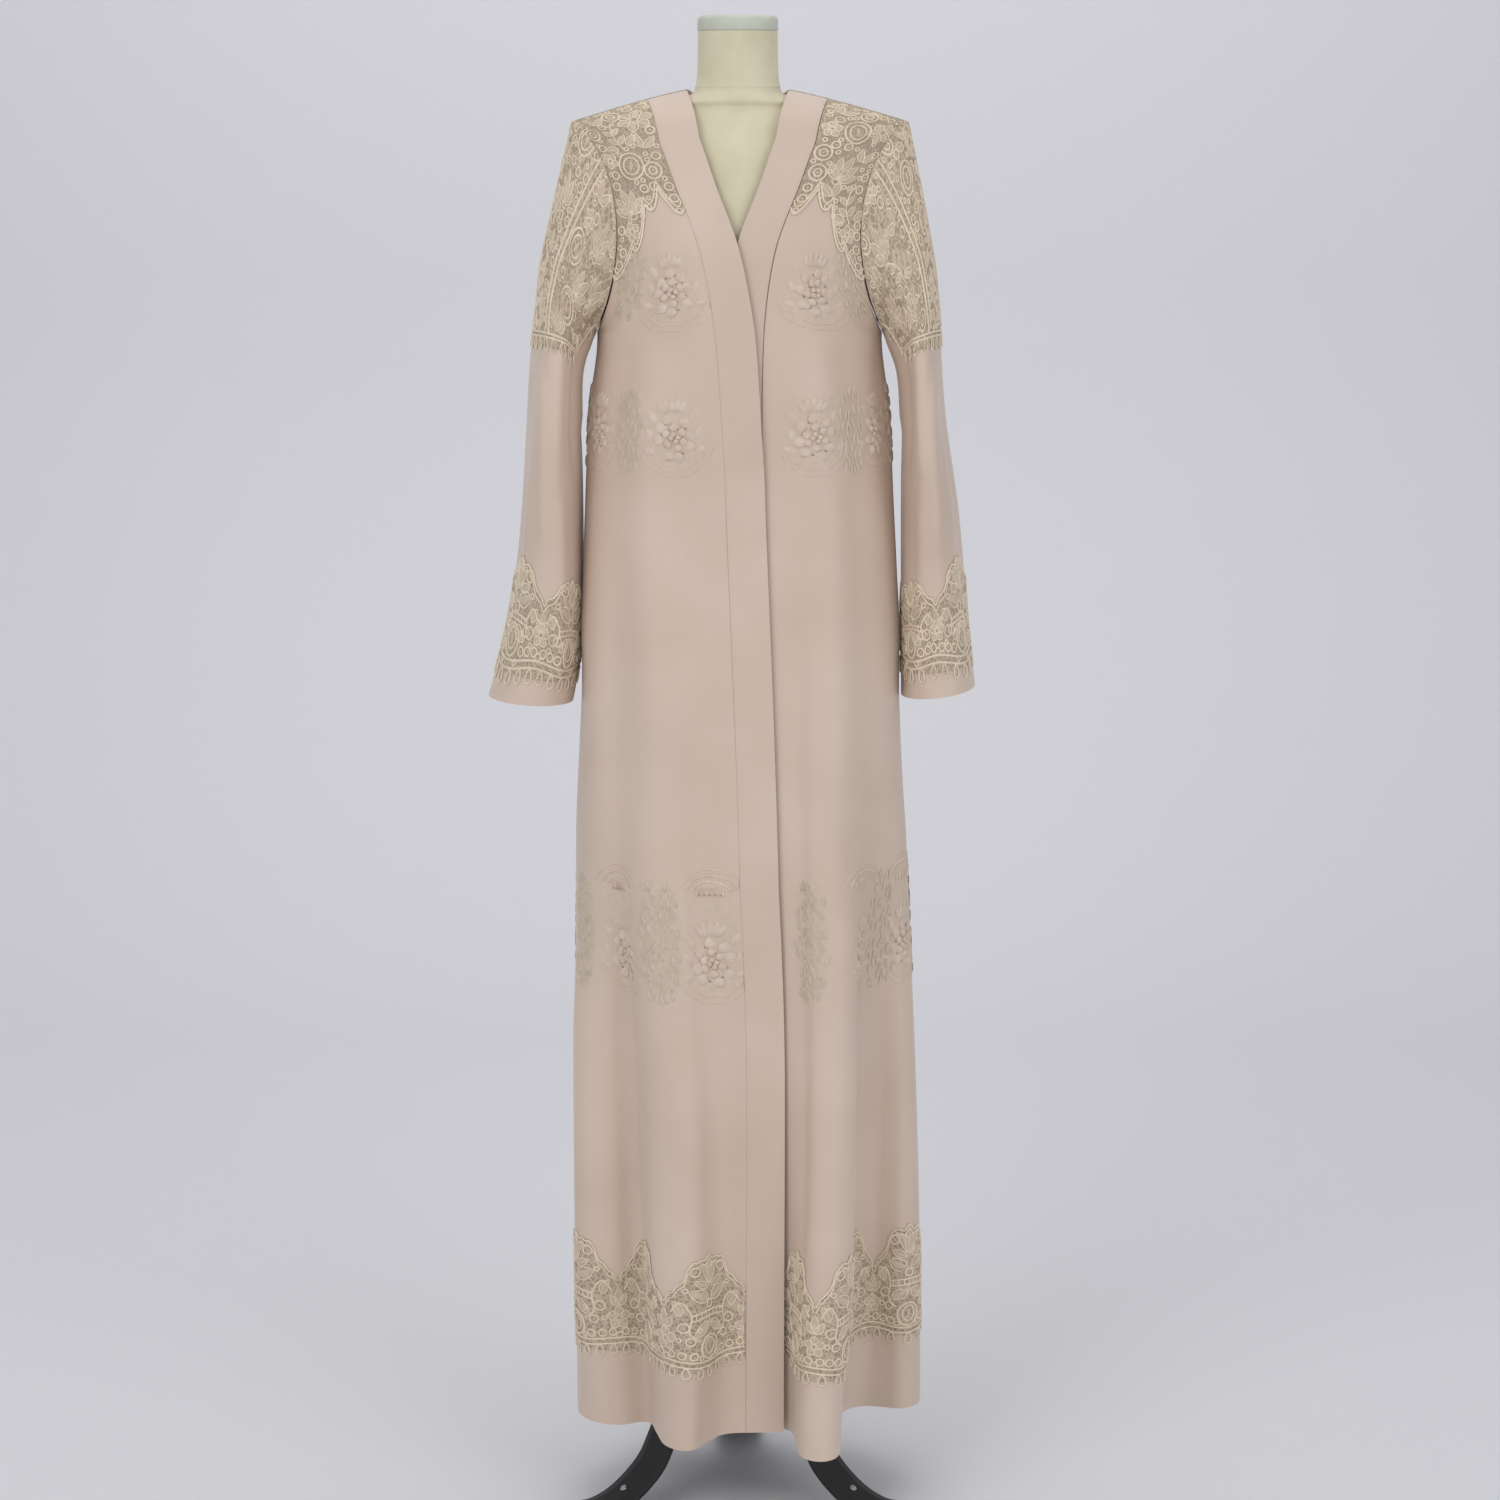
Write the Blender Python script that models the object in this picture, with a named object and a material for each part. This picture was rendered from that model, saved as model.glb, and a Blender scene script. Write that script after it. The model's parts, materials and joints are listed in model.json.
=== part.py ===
"""Abaya cloak standing on a limbless dress form and its tripod stand.

Metres, +Z up.  The front of the garment faces -Y, and +X is to the viewer's
right, so the wearer's right side has negative x.  All cloth is a thin wall
raised on one surface: horizontal rings under the shoulder line that pass
slowly into a folded plan curve at the hem.
"""
import math
from typing import NamedTuple

import bmesh
import bpy
from mathutils import Vector

# Driving sizes
SHOULDER_HEIGHT = 1.570
GARMENT_LENGTH = 1.467
UNDERARM_DROP = 0.255
SHOULDER_FALL = 0.034
NECK_HALF_WIDTH = 0.055
BACK_NECK_SCOOP = 0.022
ARMHOLE_CUT_IN = math.radians(38.0)
BAND_WIDTH = 0.042
LAP_DEPTH = 0.006
CLOTH_WALL = 0.0013
SEAM_GAP = 0.0003
LACE_WALL = 0.0012
LACE_GAP = 0.0005
YOKE_LACE_GAP = 0.0009
STITCH_RELIEF = 0.0006
FOLD_START = 0.45
FOLD_POWER = 1.3
POLE_RADIUS = 0.0125
HUB_RADIUS = 0.028
HUB_BOTTOM = 0.118
HUB_TOP = 0.178
LEG_WIDTH = 0.054
LEG_THICKNESS = 0.009
FOOT_REACH = 0.188
FOOT_RADIUS = 0.012
FOOT_HEIGHT = 0.007
FORM_BOTTOM = 0.845
CAP_HEIGHT = 0.016
ORIGIN_SHIFT = Vector((0.0068, -0.0225, 0.0))

CLOTH_COLOUR = (0.56, 0.46, 0.40)
LACE_COLOUR = (0.66, 0.54, 0.39)
FORM_COLOUR = (0.72, 0.66, 0.52)
CAP_COLOUR = (0.66, 0.68, 0.60)
STAND_COLOUR = (0.012, 0.011, 0.013)


class Section(NamedTuple):
    """One level of the body: half widths each way and depths, at a drop."""
    drop: float
    right: float
    left: float
    front: float
    back: float


SECTIONS = (
    Section(0.000, 0.1735, 0.1784, 0.000, 0.000),
    Section(0.020, 0.1720, 0.1765, 0.055, 0.062),
    Section(0.050, 0.1680, 0.1720, 0.080, 0.085),
    Section(0.100, 0.1630, 0.1665, 0.100, 0.102),
    Section(0.160, 0.1570, 0.1600, 0.114, 0.110),
    Section(0.255, 0.1500, 0.1530, 0.122, 0.110),
    Section(0.330, 0.1540, 0.1560, 0.120, 0.106),
    Section(0.430, 0.1580, 0.1600, 0.114, 0.106),
    Section(0.530, 0.1610, 0.1640, 0.113, 0.112),
    Section(0.620, 0.1655, 0.1690, 0.115, 0.118),
    Section(0.800, 0.1740, 0.1760, 0.118, 0.124),
    Section(1.467, 0.1820, 0.2000, 0.130, 0.132),
)


class Edge(NamedTuple):
    """Where the opening edge of each front lies, by its drop."""
    drop: float
    right_front: float
    left_front: float


EDGES = (
    Edge(0.000, -0.055, 0.055),
    Edge(0.050, -0.040, 0.040),
    Edge(0.100, -0.022, 0.022),
    Edge(0.165, 0.002, -0.002),
    Edge(0.250, 0.018, -0.014),
    Edge(0.400, 0.028, -0.016),
    Edge(0.850, 0.041, -0.012),
    Edge(1.050, 0.051, -0.006),
    Edge(1.467, 0.0505, -0.002),
)


class HemPoint(NamedTuple):
    """A turn of the hem seen from above, and how far it dips."""
    x: float
    y: float
    dip: float


RIGHT_FRONT_HEM = (
    HemPoint(-0.182, 0.005, 0.000),
    HemPoint(-0.177, -0.035, 0.000),
    HemPoint(-0.158, -0.062, 0.001),
    HemPoint(-0.132, -0.068, 0.002),
    HemPoint(-0.108, -0.060, 0.001),
    HemPoint(-0.095, -0.064, 0.002),
    HemPoint(-0.089, -0.090, 0.003),
    HemPoint(-0.082, -0.120, 0.005),
    HemPoint(-0.066, -0.135, 0.006),
    HemPoint(-0.050, -0.134, 0.006),
    HemPoint(-0.036, -0.114, 0.004),
    HemPoint(-0.018, -0.098, 0.002),
    HemPoint(0.0080, -0.094, 0.001),
)
RIGHT_BAND_HEM = (
    HemPoint(0.0080, -0.094, 0.001),
    HemPoint(0.0290, -0.093, 0.001),
    HemPoint(0.0505, -0.093, 0.001),
)
LEFT_BAND_HEM = (
    HemPoint(-0.002, -0.083, 0.000),
    HemPoint(0.020, -0.082, 0.000),
    HemPoint(0.042, -0.082, 0.000),
)
LEFT_FRONT_HEM = (
    HemPoint(0.042, -0.082, 0.000),
    HemPoint(0.051, -0.0825, 0.001),
    HemPoint(0.060, -0.092, 0.002),
    HemPoint(0.064, -0.122, 0.006),
    HemPoint(0.071, -0.148, 0.009),
    HemPoint(0.089, -0.158, 0.010),
    HemPoint(0.106, -0.150, 0.009),
    HemPoint(0.113, -0.124, 0.005),
    HemPoint(0.111, -0.090, 0.002),
    HemPoint(0.111, -0.055, 0.000),
    HemPoint(0.120, -0.026, 0.000),
    HemPoint(0.140, -0.014, 0.000),
    HemPoint(0.162, -0.016, 0.000),
    HemPoint(0.182, -0.020, 0.000),
    HemPoint(0.200, -0.006, 0.000),
    HemPoint(0.206, 0.022, 0.000),
)
BACK_HEM = (
    HemPoint(0.206, 0.022, 0.000),
    HemPoint(0.200, 0.054, 0.000),
    HemPoint(0.180, 0.072, 0.000),
    HemPoint(0.162, 0.092, 0.000),
    HemPoint(0.156, 0.122, 0.001),
    HemPoint(0.136, 0.142, 0.002),
    HemPoint(0.112, 0.136, 0.002),
    HemPoint(0.096, 0.114, 0.001),
    HemPoint(0.076, 0.114, 0.001),
    HemPoint(0.058, 0.138, 0.003),
    HemPoint(0.034, 0.158, 0.004),
    HemPoint(0.008, 0.152, 0.003),
    HemPoint(-0.012, 0.126, 0.001),
    HemPoint(-0.036, 0.120, 0.001),
    HemPoint(-0.056, 0.142, 0.003),
    HemPoint(-0.080, 0.156, 0.004),
    HemPoint(-0.104, 0.144, 0.002),
    HemPoint(-0.114, 0.114, 0.001),
    HemPoint(-0.132, 0.096, 0.000),
    HemPoint(-0.156, 0.086, 0.000),
    HemPoint(-0.174, 0.062, 0.000),
    HemPoint(-0.182, 0.034, 0.000),
    HemPoint(-0.182, 0.005, 0.000),
)


class SleeveRing(NamedTuple):
    """One ring of a sleeve: its outer and inner points and half its depth."""
    outer_x: float
    outer_z: float
    inner_x: float
    inner_z: float
    half_depth: float


RIGHT_SLEEVE = (
    SleeveRing(-0.1738, 1.536, -0.1500, 1.315, 0.062),
    SleeveRing(-0.1870, 1.486, -0.1565, 1.305, 0.068),
    SleeveRing(-0.1993, 1.433, -0.1640, 1.290, 0.076),
    SleeveRing(-0.2094, 1.388, -0.1695, 1.267, 0.082),
    SleeveRing(-0.2153, 1.337, -0.1710, 1.234, 0.085),
    SleeveRing(-0.2223, 1.283, -0.1705, 1.197, 0.085),
    SleeveRing(-0.2273, 1.218, -0.1700, 1.153, 0.083),
    SleeveRing(-0.2337, 1.131, -0.1700, 1.088, 0.078),
    SleeveRing(-0.2410, 1.060, -0.1705, 1.027, 0.072),
    SleeveRing(-0.2538, 0.989, -0.1740, 0.967, 0.066),
    SleeveRing(-0.2722, 0.918, -0.1820, 0.912, 0.060),
)
LEFT_SLEEVE = (
    SleeveRing(0.1784, 1.536, 0.1530, 1.315, 0.062),
    SleeveRing(0.1884, 1.496, 0.1590, 1.307, 0.068),
    SleeveRing(0.1990, 1.443, 0.1670, 1.290, 0.076),
    SleeveRing(0.2085, 1.388, 0.1745, 1.267, 0.082),
    SleeveRing(0.2144, 1.337, 0.1780, 1.234, 0.085),
    SleeveRing(0.2181, 1.283, 0.1790, 1.197, 0.085),
    SleeveRing(0.2240, 1.218, 0.1785, 1.153, 0.083),
    SleeveRing(0.2369, 1.131, 0.1785, 1.088, 0.078),
    SleeveRing(0.2441, 1.060, 0.1785, 1.027, 0.072),
    SleeveRing(0.2503, 0.989, 0.1795, 0.978, 0.066),
    SleeveRing(0.2585, 0.929, 0.1800, 0.918, 0.060),
)


class FormRing(NamedTuple):
    """One level of the dress form."""
    z: float
    half_width: float
    front: float
    back: float


FORM_RINGS = (
    FormRing(1.632, 0.0425, 0.0425, 0.0425),
    FormRing(1.595, 0.0430, 0.0430, 0.0430),
    FormRing(1.572, 0.0455, 0.0450, 0.0450),
    FormRing(1.564, 0.0542, 0.0489, 0.0455),
    FormRing(1.558, 0.0792, 0.0495, 0.0470),
    FormRing(1.552, 0.1035, 0.0460, 0.0480),
    FormRing(1.544, 0.1275, 0.0525, 0.0565),
    FormRing(1.529, 0.1425, 0.0635, 0.0715),
    FormRing(1.505, 0.1485, 0.0790, 0.0870),
    FormRing(1.460, 0.1475, 0.0950, 0.0980),
    FormRing(1.400, 0.1425, 0.1040, 0.1010),
    FormRing(1.315, 0.1370, 0.1120, 0.0990),
    FormRing(1.230, 0.1290, 0.0980, 0.0880),
    FormRing(1.150, 0.1220, 0.0870, 0.0800),
    FormRing(1.060, 0.1280, 0.0900, 0.0880),
    FormRing(0.960, 0.1420, 0.0960, 0.0980),
    FormRing(0.890, 0.1460, 0.0970, 0.1000),
    FormRing(FORM_BOTTOM, 0.1400, 0.0920, 0.0950),
)


class LegPoint(NamedTuple):
    """A point of a stand leg's centre line, out from the pole."""
    reach: float
    z: float


LEG_LINE = (
    LegPoint(0.0287, 0.1500),
    LegPoint(0.0580, 0.1440),
    LegPoint(0.0830, 0.1160),
    LegPoint(0.0987, 0.0800),
    LegPoint(0.1150, 0.0500),
    LegPoint(0.1450, 0.0240),
    LegPoint(0.1740, 0.0118),
    LegPoint(0.2020, 0.0118),
)
LEG_TURNS = {"right_leg": -60.0, "left_leg": 60.0, "rear_leg": 180.0}

# Rows of the cloth grids, as drops below the shoulder line
YOKE_ROWS = (0.0, 0.0024, 0.0097, 0.0215, 0.0373, 0.0787, 0.1275, 0.1763, 0.2177, 0.2453)
BODY_ROWS = (0.255, 0.310, 0.370, 0.450, 0.540, 0.640, 0.740, 0.825)
SKIRT_ROWS = (0.880, 0.935, 0.990, 1.070, 1.150, 1.245, 1.300, 1.345, 1.392, 1.430, 1.467)
ROWS = YOKE_ROWS + BODY_ROWS + SKIRT_ROWS
SLEEVE_ROWS = (0.0, 0.03, 0.08, 0.14, 0.20, 0.26, 0.32, 0.38, 0.45, 0.52,
               0.59, 0.66, 0.765, 0.825, 0.885, 0.945, 1.0)
RIGHT_FRONT_COLUMNS = 12
LEFT_FRONT_COLUMNS = 16
BACK_COLUMNS = 24
BAND_COLUMNS = 2
SLEEVE_COLUMNS = 16
FORM_SIDES = 24

# Raised stitching: bands by their drops
STITCHED_BANDS = ((0.150, 0.240), (0.290, 0.390), (0.820, 0.990))

# Lace borders
SCALLOP_COLUMNS = 4
HEM_LACE = (1.248, 1.297, 1.389)
CUFF_LACE = (0.768, 0.822, 0.965)
CAP_LACE_START = 0.65
CAP_LACE_END = 7.9
CAP_LACE_REACH = 5
ARMHOLE_INSET = 0.4
YOKE_LACE_EDGE = ((0.0, 0.205), (0.25, 0.175), (0.5, 0.128), (0.75, 0.112), (1.0, 0.135))
BACK_LACE_EDGE = ((0.0, 0.205), (0.2, 0.160), (0.5, 0.125), (0.8, 0.160), (1.0, 0.205))
HOLE_MARGIN = 0.27


def smooth(value):
    """Ease 0 to 1 with level ends."""
    value = min(max(value, 0.0), 1.0)
    return value * value * (3.0 - 2.0 * value)


def blend(points, position):
    """Pass a smooth curve through tuples of numbers at whole positions."""
    last = len(points) - 1
    position = min(max(position, 0.0), float(last))
    index = min(int(position), last - 1)
    share = position - index
    before = points[max(index - 1, 0)]
    start = points[index]
    end = points[index + 1]
    after = points[min(index + 2, last)]
    result = []
    for a, b, c, d in zip(before, start, end, after):
        bend = (2.0 * a - 5.0 * b + 4.0 * c - d) * share
        curl = (3.0 * b - 3.0 * c + d - a) * share * share
        result.append(b + 0.5 * share * (c - a + bend + curl))
    return result


def at_drop(table, drop):
    """Read a table of levels at a drop, evenly in the drop's square root."""
    key = math.sqrt(max(drop, 0.0))
    for index in range(len(table) - 1):
        low = math.sqrt(table[index][0])
        high = math.sqrt(table[index + 1][0])
        if key <= high or index == len(table) - 2:
            share = (key - low) / (high - low)
            return blend(table, index + min(share, 1.0))
    return list(table[-1])


def shoulder_fall(x, half_width):
    """How far the shoulder line has dropped at x."""
    share = (abs(x) - 0.045) / (half_width - 0.045)
    return SHOULDER_FALL * min(max(share, 0.0), 1.0) ** 1.2


def ring_point(angle, drop):
    """A point of the body's ring, the angle counted from the front."""
    level = Section(*at_drop(SECTIONS, drop))
    half_width = level.right if math.sin(angle) < 0.0 else level.left
    depth = level.front if math.cos(angle) > 0.0 else level.back
    x = half_width * math.sin(angle)
    forward = math.copysign(1.0, math.cos(angle))
    y = -depth * math.cos(angle) - forward * SEAM_GAP * max(1.0 - drop / 0.030, 0.0)
    slope = max(1.0 - drop / UNDERARM_DROP, 0.0) ** 2
    z = SHOULDER_HEIGHT - drop - slope * shoulder_fall(x, half_width)
    return Vector((x, y, z))


def angle_at(x, drop):
    """The ring angle at which the front reaches x."""
    level = Section(*at_drop(SECTIONS, drop))
    half_width = level.right if x < 0.0 else level.left
    return math.asin(x / half_width)


def armhole_turn(drop):
    """How far round from the side the armhole has cut in at a drop."""
    if drop >= UNDERARM_DROP:
        return 0.0
    return ARMHOLE_CUT_IN * math.sin(math.acos(1.0 - 2.0 * drop / UNDERARM_DROP))


def fold_share(drop):
    """How much of the hem's folded plan shows at a drop."""
    share = (drop - FOLD_START) / (GARMENT_LENGTH - FOLD_START)
    return min(max(share, 0.0), 1.0) ** FOLD_POWER


def hem_point(table, share):
    """A point of a hem plan at a share of its length."""
    steps = [0.0]
    for start, end in zip(table, table[1:]):
        steps.append(steps[-1] + math.hypot(end.x - start.x, end.y - start.y))
    wanted = share * steps[-1]
    for index in range(len(table) - 1):
        if wanted <= steps[index + 1] or index == len(table) - 2:
            part = (wanted - steps[index]) / (steps[index + 1] - steps[index])
            return HemPoint(*blend(table, index + min(part, 1.0)))
    return table[-1]


def hang(point, table, share, drop):
    """Pass a ring point into the folds of the hem below it."""
    fold = fold_share(drop)
    hem = hem_point(table, share)
    x = point.x + (hem.x - point.x) * fold
    y = point.y + (hem.y - point.y) * fold
    return Vector((x, y, point.z - hem.dip * fold * fold))


def inset(share, width):
    """Hold a share clear of both seams by half the seam gap."""
    margin = SEAM_GAP / width
    return margin + share * (1.0 - 2.0 * margin)


def right_front_point(share, drop):
    """The wearer's right front, from its side seam to its band."""
    edge = Edge(*at_drop(EDGES, drop)).right_front - BAND_WIDTH
    start = -math.pi / 2.0 + armhole_turn(drop)
    end = angle_at(edge, drop)
    share = inset(share, 0.20)
    return hang(ring_point(start + (end - start) * share, drop), RIGHT_FRONT_HEM, share, drop)


def right_band_point(share, drop):
    """The band along the edge of the right front."""
    edge = Edge(*at_drop(EDGES, drop)).right_front
    share = inset(share, BAND_WIDTH)
    start = angle_at(edge - BAND_WIDTH, drop)
    end = angle_at(edge, drop)
    return hang(ring_point(start + (end - start) * share, drop), RIGHT_BAND_HEM, share, drop)


def tuck_behind(point, drop):
    """Move the left front back where the right front laps over it."""
    edge = Edge(*at_drop(EDGES, drop)).right_front
    depth = LAP_DEPTH * smooth((drop - 0.090) / 0.050)
    depth *= 1.0 - smooth((point.x - edge - 0.004) / 0.045)
    return Vector((point.x, point.y + depth, point.z))


def left_band_point(share, drop):
    """The band along the edge of the left front, under the right one."""
    edge = Edge(*at_drop(EDGES, drop)).left_front
    share = 0.985 * inset(share, BAND_WIDTH)
    start = angle_at(edge, drop)
    end = angle_at(edge + BAND_WIDTH, drop)
    point = tuck_behind(ring_point(start + (end - start) * share, drop), drop)
    return hang(point, LEFT_BAND_HEM, share, drop)


def left_front_point(share, drop):
    """The wearer's left front, from its band to its side seam."""
    edge = Edge(*at_drop(EDGES, drop)).left_front + BAND_WIDTH
    start = angle_at(edge, drop)
    end = math.pi / 2.0 - armhole_turn(drop)
    share = inset(share, 0.20)
    point = tuck_behind(ring_point(start + (end - start) * share, drop), drop)
    return hang(point, LEFT_FRONT_HEM, share, drop)


def back_point(share, drop):
    """The back, from the left side seam round to the right one."""
    turn = armhole_turn(drop)
    share = inset(share, 0.42)
    start = math.pi / 2.0 + turn
    angle = start + (math.pi - 2.0 * turn) * share
    x = 0.176 * math.sin(math.pi / 2.0 + math.pi * share)
    scoop = BACK_NECK_SCOOP * max(1.0 - (x / NECK_HALF_WIDTH) ** 2, 0.0)
    lowered = drop + scoop * max(1.0 - drop / 0.090, 0.0)
    return hang(ring_point(angle, lowered), BACK_HEM, share, drop)


def armhole_point(turn, side):
    """A point of the armhole; turn 0 is the shoulder, pi the underarm."""
    drop = UNDERARM_DROP * (1.0 - math.cos(turn)) / 2.0
    cut = ARMHOLE_CUT_IN * math.sin(turn)
    return ring_point(side * (math.pi / 2.0 - cut), drop)


def sleeve_point(table, side, turn, share):
    """A point of a sleeve, the turn counted from its outer line by the front."""
    ring = SleeveRing(*blend(table, share * (len(table) - 1)))
    outer = Vector((ring.outer_x, 0.0, ring.outer_z))
    inner = Vector((ring.inner_x, 0.0, ring.inner_z))
    middle = (outer + inner) / 2.0
    point = middle + (outer - inner) * 0.5 * math.cos(turn)
    point.y = -ring.half_depth * math.sin(turn)
    start = armhole_point(turn, side)
    under = (1.0 - math.cos(turn)) / 2.0
    start.x += side * (2.0 * SEAM_GAP + (0.8 + 1.5 * under) * CLOTH_WALL)
    return start.lerp(point, smooth(share / 0.22))


class Cloth:
    """A grid of points with outward normals, from which walls are raised."""

    def __init__(self, points, closed=False, flip=False, relief=None):
        self.points = points
        self.closed = closed
        self.rows = len(points)
        self.columns = len(points[0])
        self.normals = self.find_normals(flip)
        self.relief = relief

    def find_normals(self, flip):
        """Cross the row and column directions at every point."""
        normals = []
        for row in range(self.rows):
            line = []
            for column in range(self.columns):
                if self.closed:
                    ahead = self.points[row][(column + 1) % self.columns]
                    behind = self.points[row][column - 1]
                else:
                    ahead = self.points[row][min(column + 1, self.columns - 1)]
                    behind = self.points[row][max(column - 1, 0)]
                below = self.points[min(row + 1, self.rows - 1)][column]
                above = self.points[max(row - 1, 0)][column]
                normal = (below - above).cross(ahead - behind).normalized()
                line.append(-normal if flip else normal)
            normals.append(line)
        return normals

    def raise_at(self, row, column):
        """The extra height of the outer face at a grid point."""
        return self.relief(row, column) if self.relief else 0.0

    def lifted(self, row, column, height):
        """Move a place given in fractions of rows and columns outwards."""
        top = min(int(row), self.rows - 2)
        down = row - top
        span = self.columns if self.closed else self.columns - 1
        near = min(int(column), span - 1)
        along = column - near
        far = (near + 1) % self.columns
        near = near % self.columns
        total = Vector((0.0, 0.0, 0.0))
        for r, c, weight in ((top, near, (1 - down) * (1 - along)),
                             (top, far, (1 - down) * along),
                             (top + 1, near, down * (1 - along)),
                             (top + 1, far, down * along)):
            rise = height + self.raise_at(r, c)
            total += (self.points[r][c] + self.normals[r][c] * rise) * weight
        return total


def material(name, colour, roughness, metallic=0.0):
    """Make a plain Principled material."""
    made = bpy.data.materials.new(name)
    made.use_nodes = True
    shader = made.node_tree.nodes["Principled BSDF"]
    shader.inputs["Base Color"].default_value = (*colour, 1.0)
    shader.inputs["Roughness"].default_value = roughness
    shader.inputs["Metallic"].default_value = metallic
    made.diffuse_color = (*colour, 1.0)
    return made


def add_object(name, builder, finish, is_smooth=True):
    """Turn a filled bmesh into a named object set on the part's origin."""
    mesh = bpy.data.meshes.new(name)
    bmesh.ops.recalc_face_normals(builder, faces=builder.faces[:])
    builder.to_mesh(mesh)
    builder.free()
    mesh.materials.append(finish)
    if is_smooth:
        mesh.shade_smooth()
    thing = bpy.data.objects.new(name, mesh)
    thing.location = ORIGIN_SHIFT
    bpy.context.collection.objects.link(thing)
    return thing


def shell(name, pairs, triangles, finish):
    """Raise one closed wall.

    Each pair is an inner and an outer point, and each triangle names three
    pairs.  An edge that only one triangle has gets a side wall.
    """
    builder = bmesh.new()
    inner = [builder.verts.new(low) for low, _ in pairs]
    outer = [builder.verts.new(high) for _, high in pairs]
    edges = set()
    for a, b, c in triangles:
        builder.faces.new((outer[a], outer[b], outer[c]))
        builder.faces.new((inner[c], inner[b], inner[a]))
        edges.update(((a, b), (b, c), (c, a)))
    for a, b in sorted(edges):
        if (b, a) not in edges:
            builder.faces.new((outer[b], outer[a], inner[a]))
            builder.faces.new((outer[b], inner[a], inner[b]))
    return add_object(name, builder, finish)


def cloth_wall(name, cloth, finish):
    """Raise a whole grid into a wall of the cloth's thickness."""
    pairs = []
    for row in range(cloth.rows):
        for column in range(cloth.columns):
            pairs.append((cloth.points[row][column], cloth.lifted(row, column, CLOTH_WALL)))
    triangles = []
    span = cloth.columns if cloth.closed else cloth.columns - 1
    for row in range(cloth.rows - 1):
        for column in range(span):
            after = (column + 1) % cloth.columns
            a = row * cloth.columns + column
            b = row * cloth.columns + after
            triangles.append((a, b, b + cloth.columns))
            triangles.append((a, b + cloth.columns, a + cloth.columns))
    return shell(name, pairs, triangles, finish)


class Lace:
    """Lace laid on a cloth, over whole cells and parts of cells of it."""

    def __init__(self, cloth, gap=LACE_GAP):
        self.cloth = cloth
        self.gap = gap
        self.pairs = []
        self.triangles = []
        self.known = {}

    def place(self, row, column):
        """The number of the pair of points over a place of the cloth."""
        key = (round(row, 5), round(column, 5))
        if key not in self.known:
            self.known[key] = len(self.pairs)
            low = CLOTH_WALL + self.gap
            inner = self.cloth.lifted(row, column, low)
            self.pairs.append((inner, self.cloth.lifted(row, column, low + LACE_WALL)))
        return self.known[key]

    def add_triangle(self, first, second, third):
        """Add a triangle of places unless it has no area."""
        a, b, c = (self.place(*spot) for spot in (first, second, third))
        if len({a, b, c}) == 3:
            self.triangles.append((a, b, c))

    def add_cell(self, corners, has_hole):
        """Add a cell from its four places taken round, with a gap or whole."""
        if not has_hole:
            self.add_triangle(corners[0], corners[1], corners[2])
            self.add_triangle(corners[0], corners[2], corners[3])
            return
        low, high = HOLE_MARGIN, 1.0 - HOLE_MARGIN
        gap = []
        for along, down in ((low, low), (high, low), (high, high), (low, high)):
            row = corners[0][0] + (corners[3][0] - corners[0][0]) * down
            gap.append((row, corners[0][1] + (corners[1][1] - corners[0][1]) * along))
        for index in range(4):
            after = (index + 1) % 4
            self.add_triangle(corners[index], corners[after], gap[after])
            self.add_triangle(corners[index], gap[after], gap[index])

    def fill(self, columns, first_row, last_row, top_at, bottom_at, holes=()):
        """Cover the cloth's cells between a top and a bottom row per column."""
        for row in range(first_row, last_row):
            for near, far in zip(columns, columns[1:]):
                corners = []
                for line, column in ((row, near), (row, far), (row + 1, far), (row + 1, near)):
                    spot = min(max(float(line), top_at(column)), bottom_at(column))
                    corners.append((spot, column))
                is_whole = [corner[0] for corner in corners] == [row, row, row + 1, row + 1]
                self.add_cell(corners, is_whole and (row, int(near)) in holes)

    def finish(self, name, surface):
        """Make the object."""
        return shell(name, self.pairs, self.triangles, surface)


def row_at(rows, value):
    """The fractional row at which a list of row values reaches a value."""
    for index in range(len(rows) - 1):
        if value <= rows[index + 1]:
            return index + (value - rows[index]) / (rows[index + 1] - rows[index])
    return float(len(rows) - 1)


def edge_at(table, share):
    """Read a lace edge table at a share of the panel's width."""
    for (start, low), (end, high) in zip(table, table[1:]):
        if share <= end:
            return low + (high - low) * smooth((share - start) / (end - start))
    return table[-1][1]


def scallop(column, period=SCALLOP_COLUMNS):
    """1 at the top of each scallop and 0 in the notch between two."""
    return abs(math.cos(math.pi * (column - 0.5 * period) / period)) ** 0.7


def column_places(columns, start_inset, end_inset):
    """Column numbers, the first and last drawn in from the panel's edge."""
    places = [float(column) for column in range(columns + 1)]
    places[0] += start_inset
    places[-1] -= end_inset
    return places


def border_lace(name, cloth, rows, columns, span, finish):
    """A scalloped border between a top and a bottom row value of a cloth."""
    top, valley, bottom = span

    def top_at(column):
        height = valley + (top - valley) * scallop(round(column))
        return row_at(rows, height)

    def bottom_at(column):
        return row_at(rows, bottom)

    first = int(row_at(rows, top))
    last = int(row_at(rows, bottom)) + 1
    holes = set()
    for column in range(int(max(columns)) + 1):
        if column % SCALLOP_COLUMNS == 1:
            holes.add((last - 3, column))
        if column % SCALLOP_COLUMNS == 3:
            holes.add((last - 2, column))
    lace = Lace(cloth)
    lace.fill(columns, first, last, top_at, bottom_at, holes)
    lace.finish(name, finish)


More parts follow.
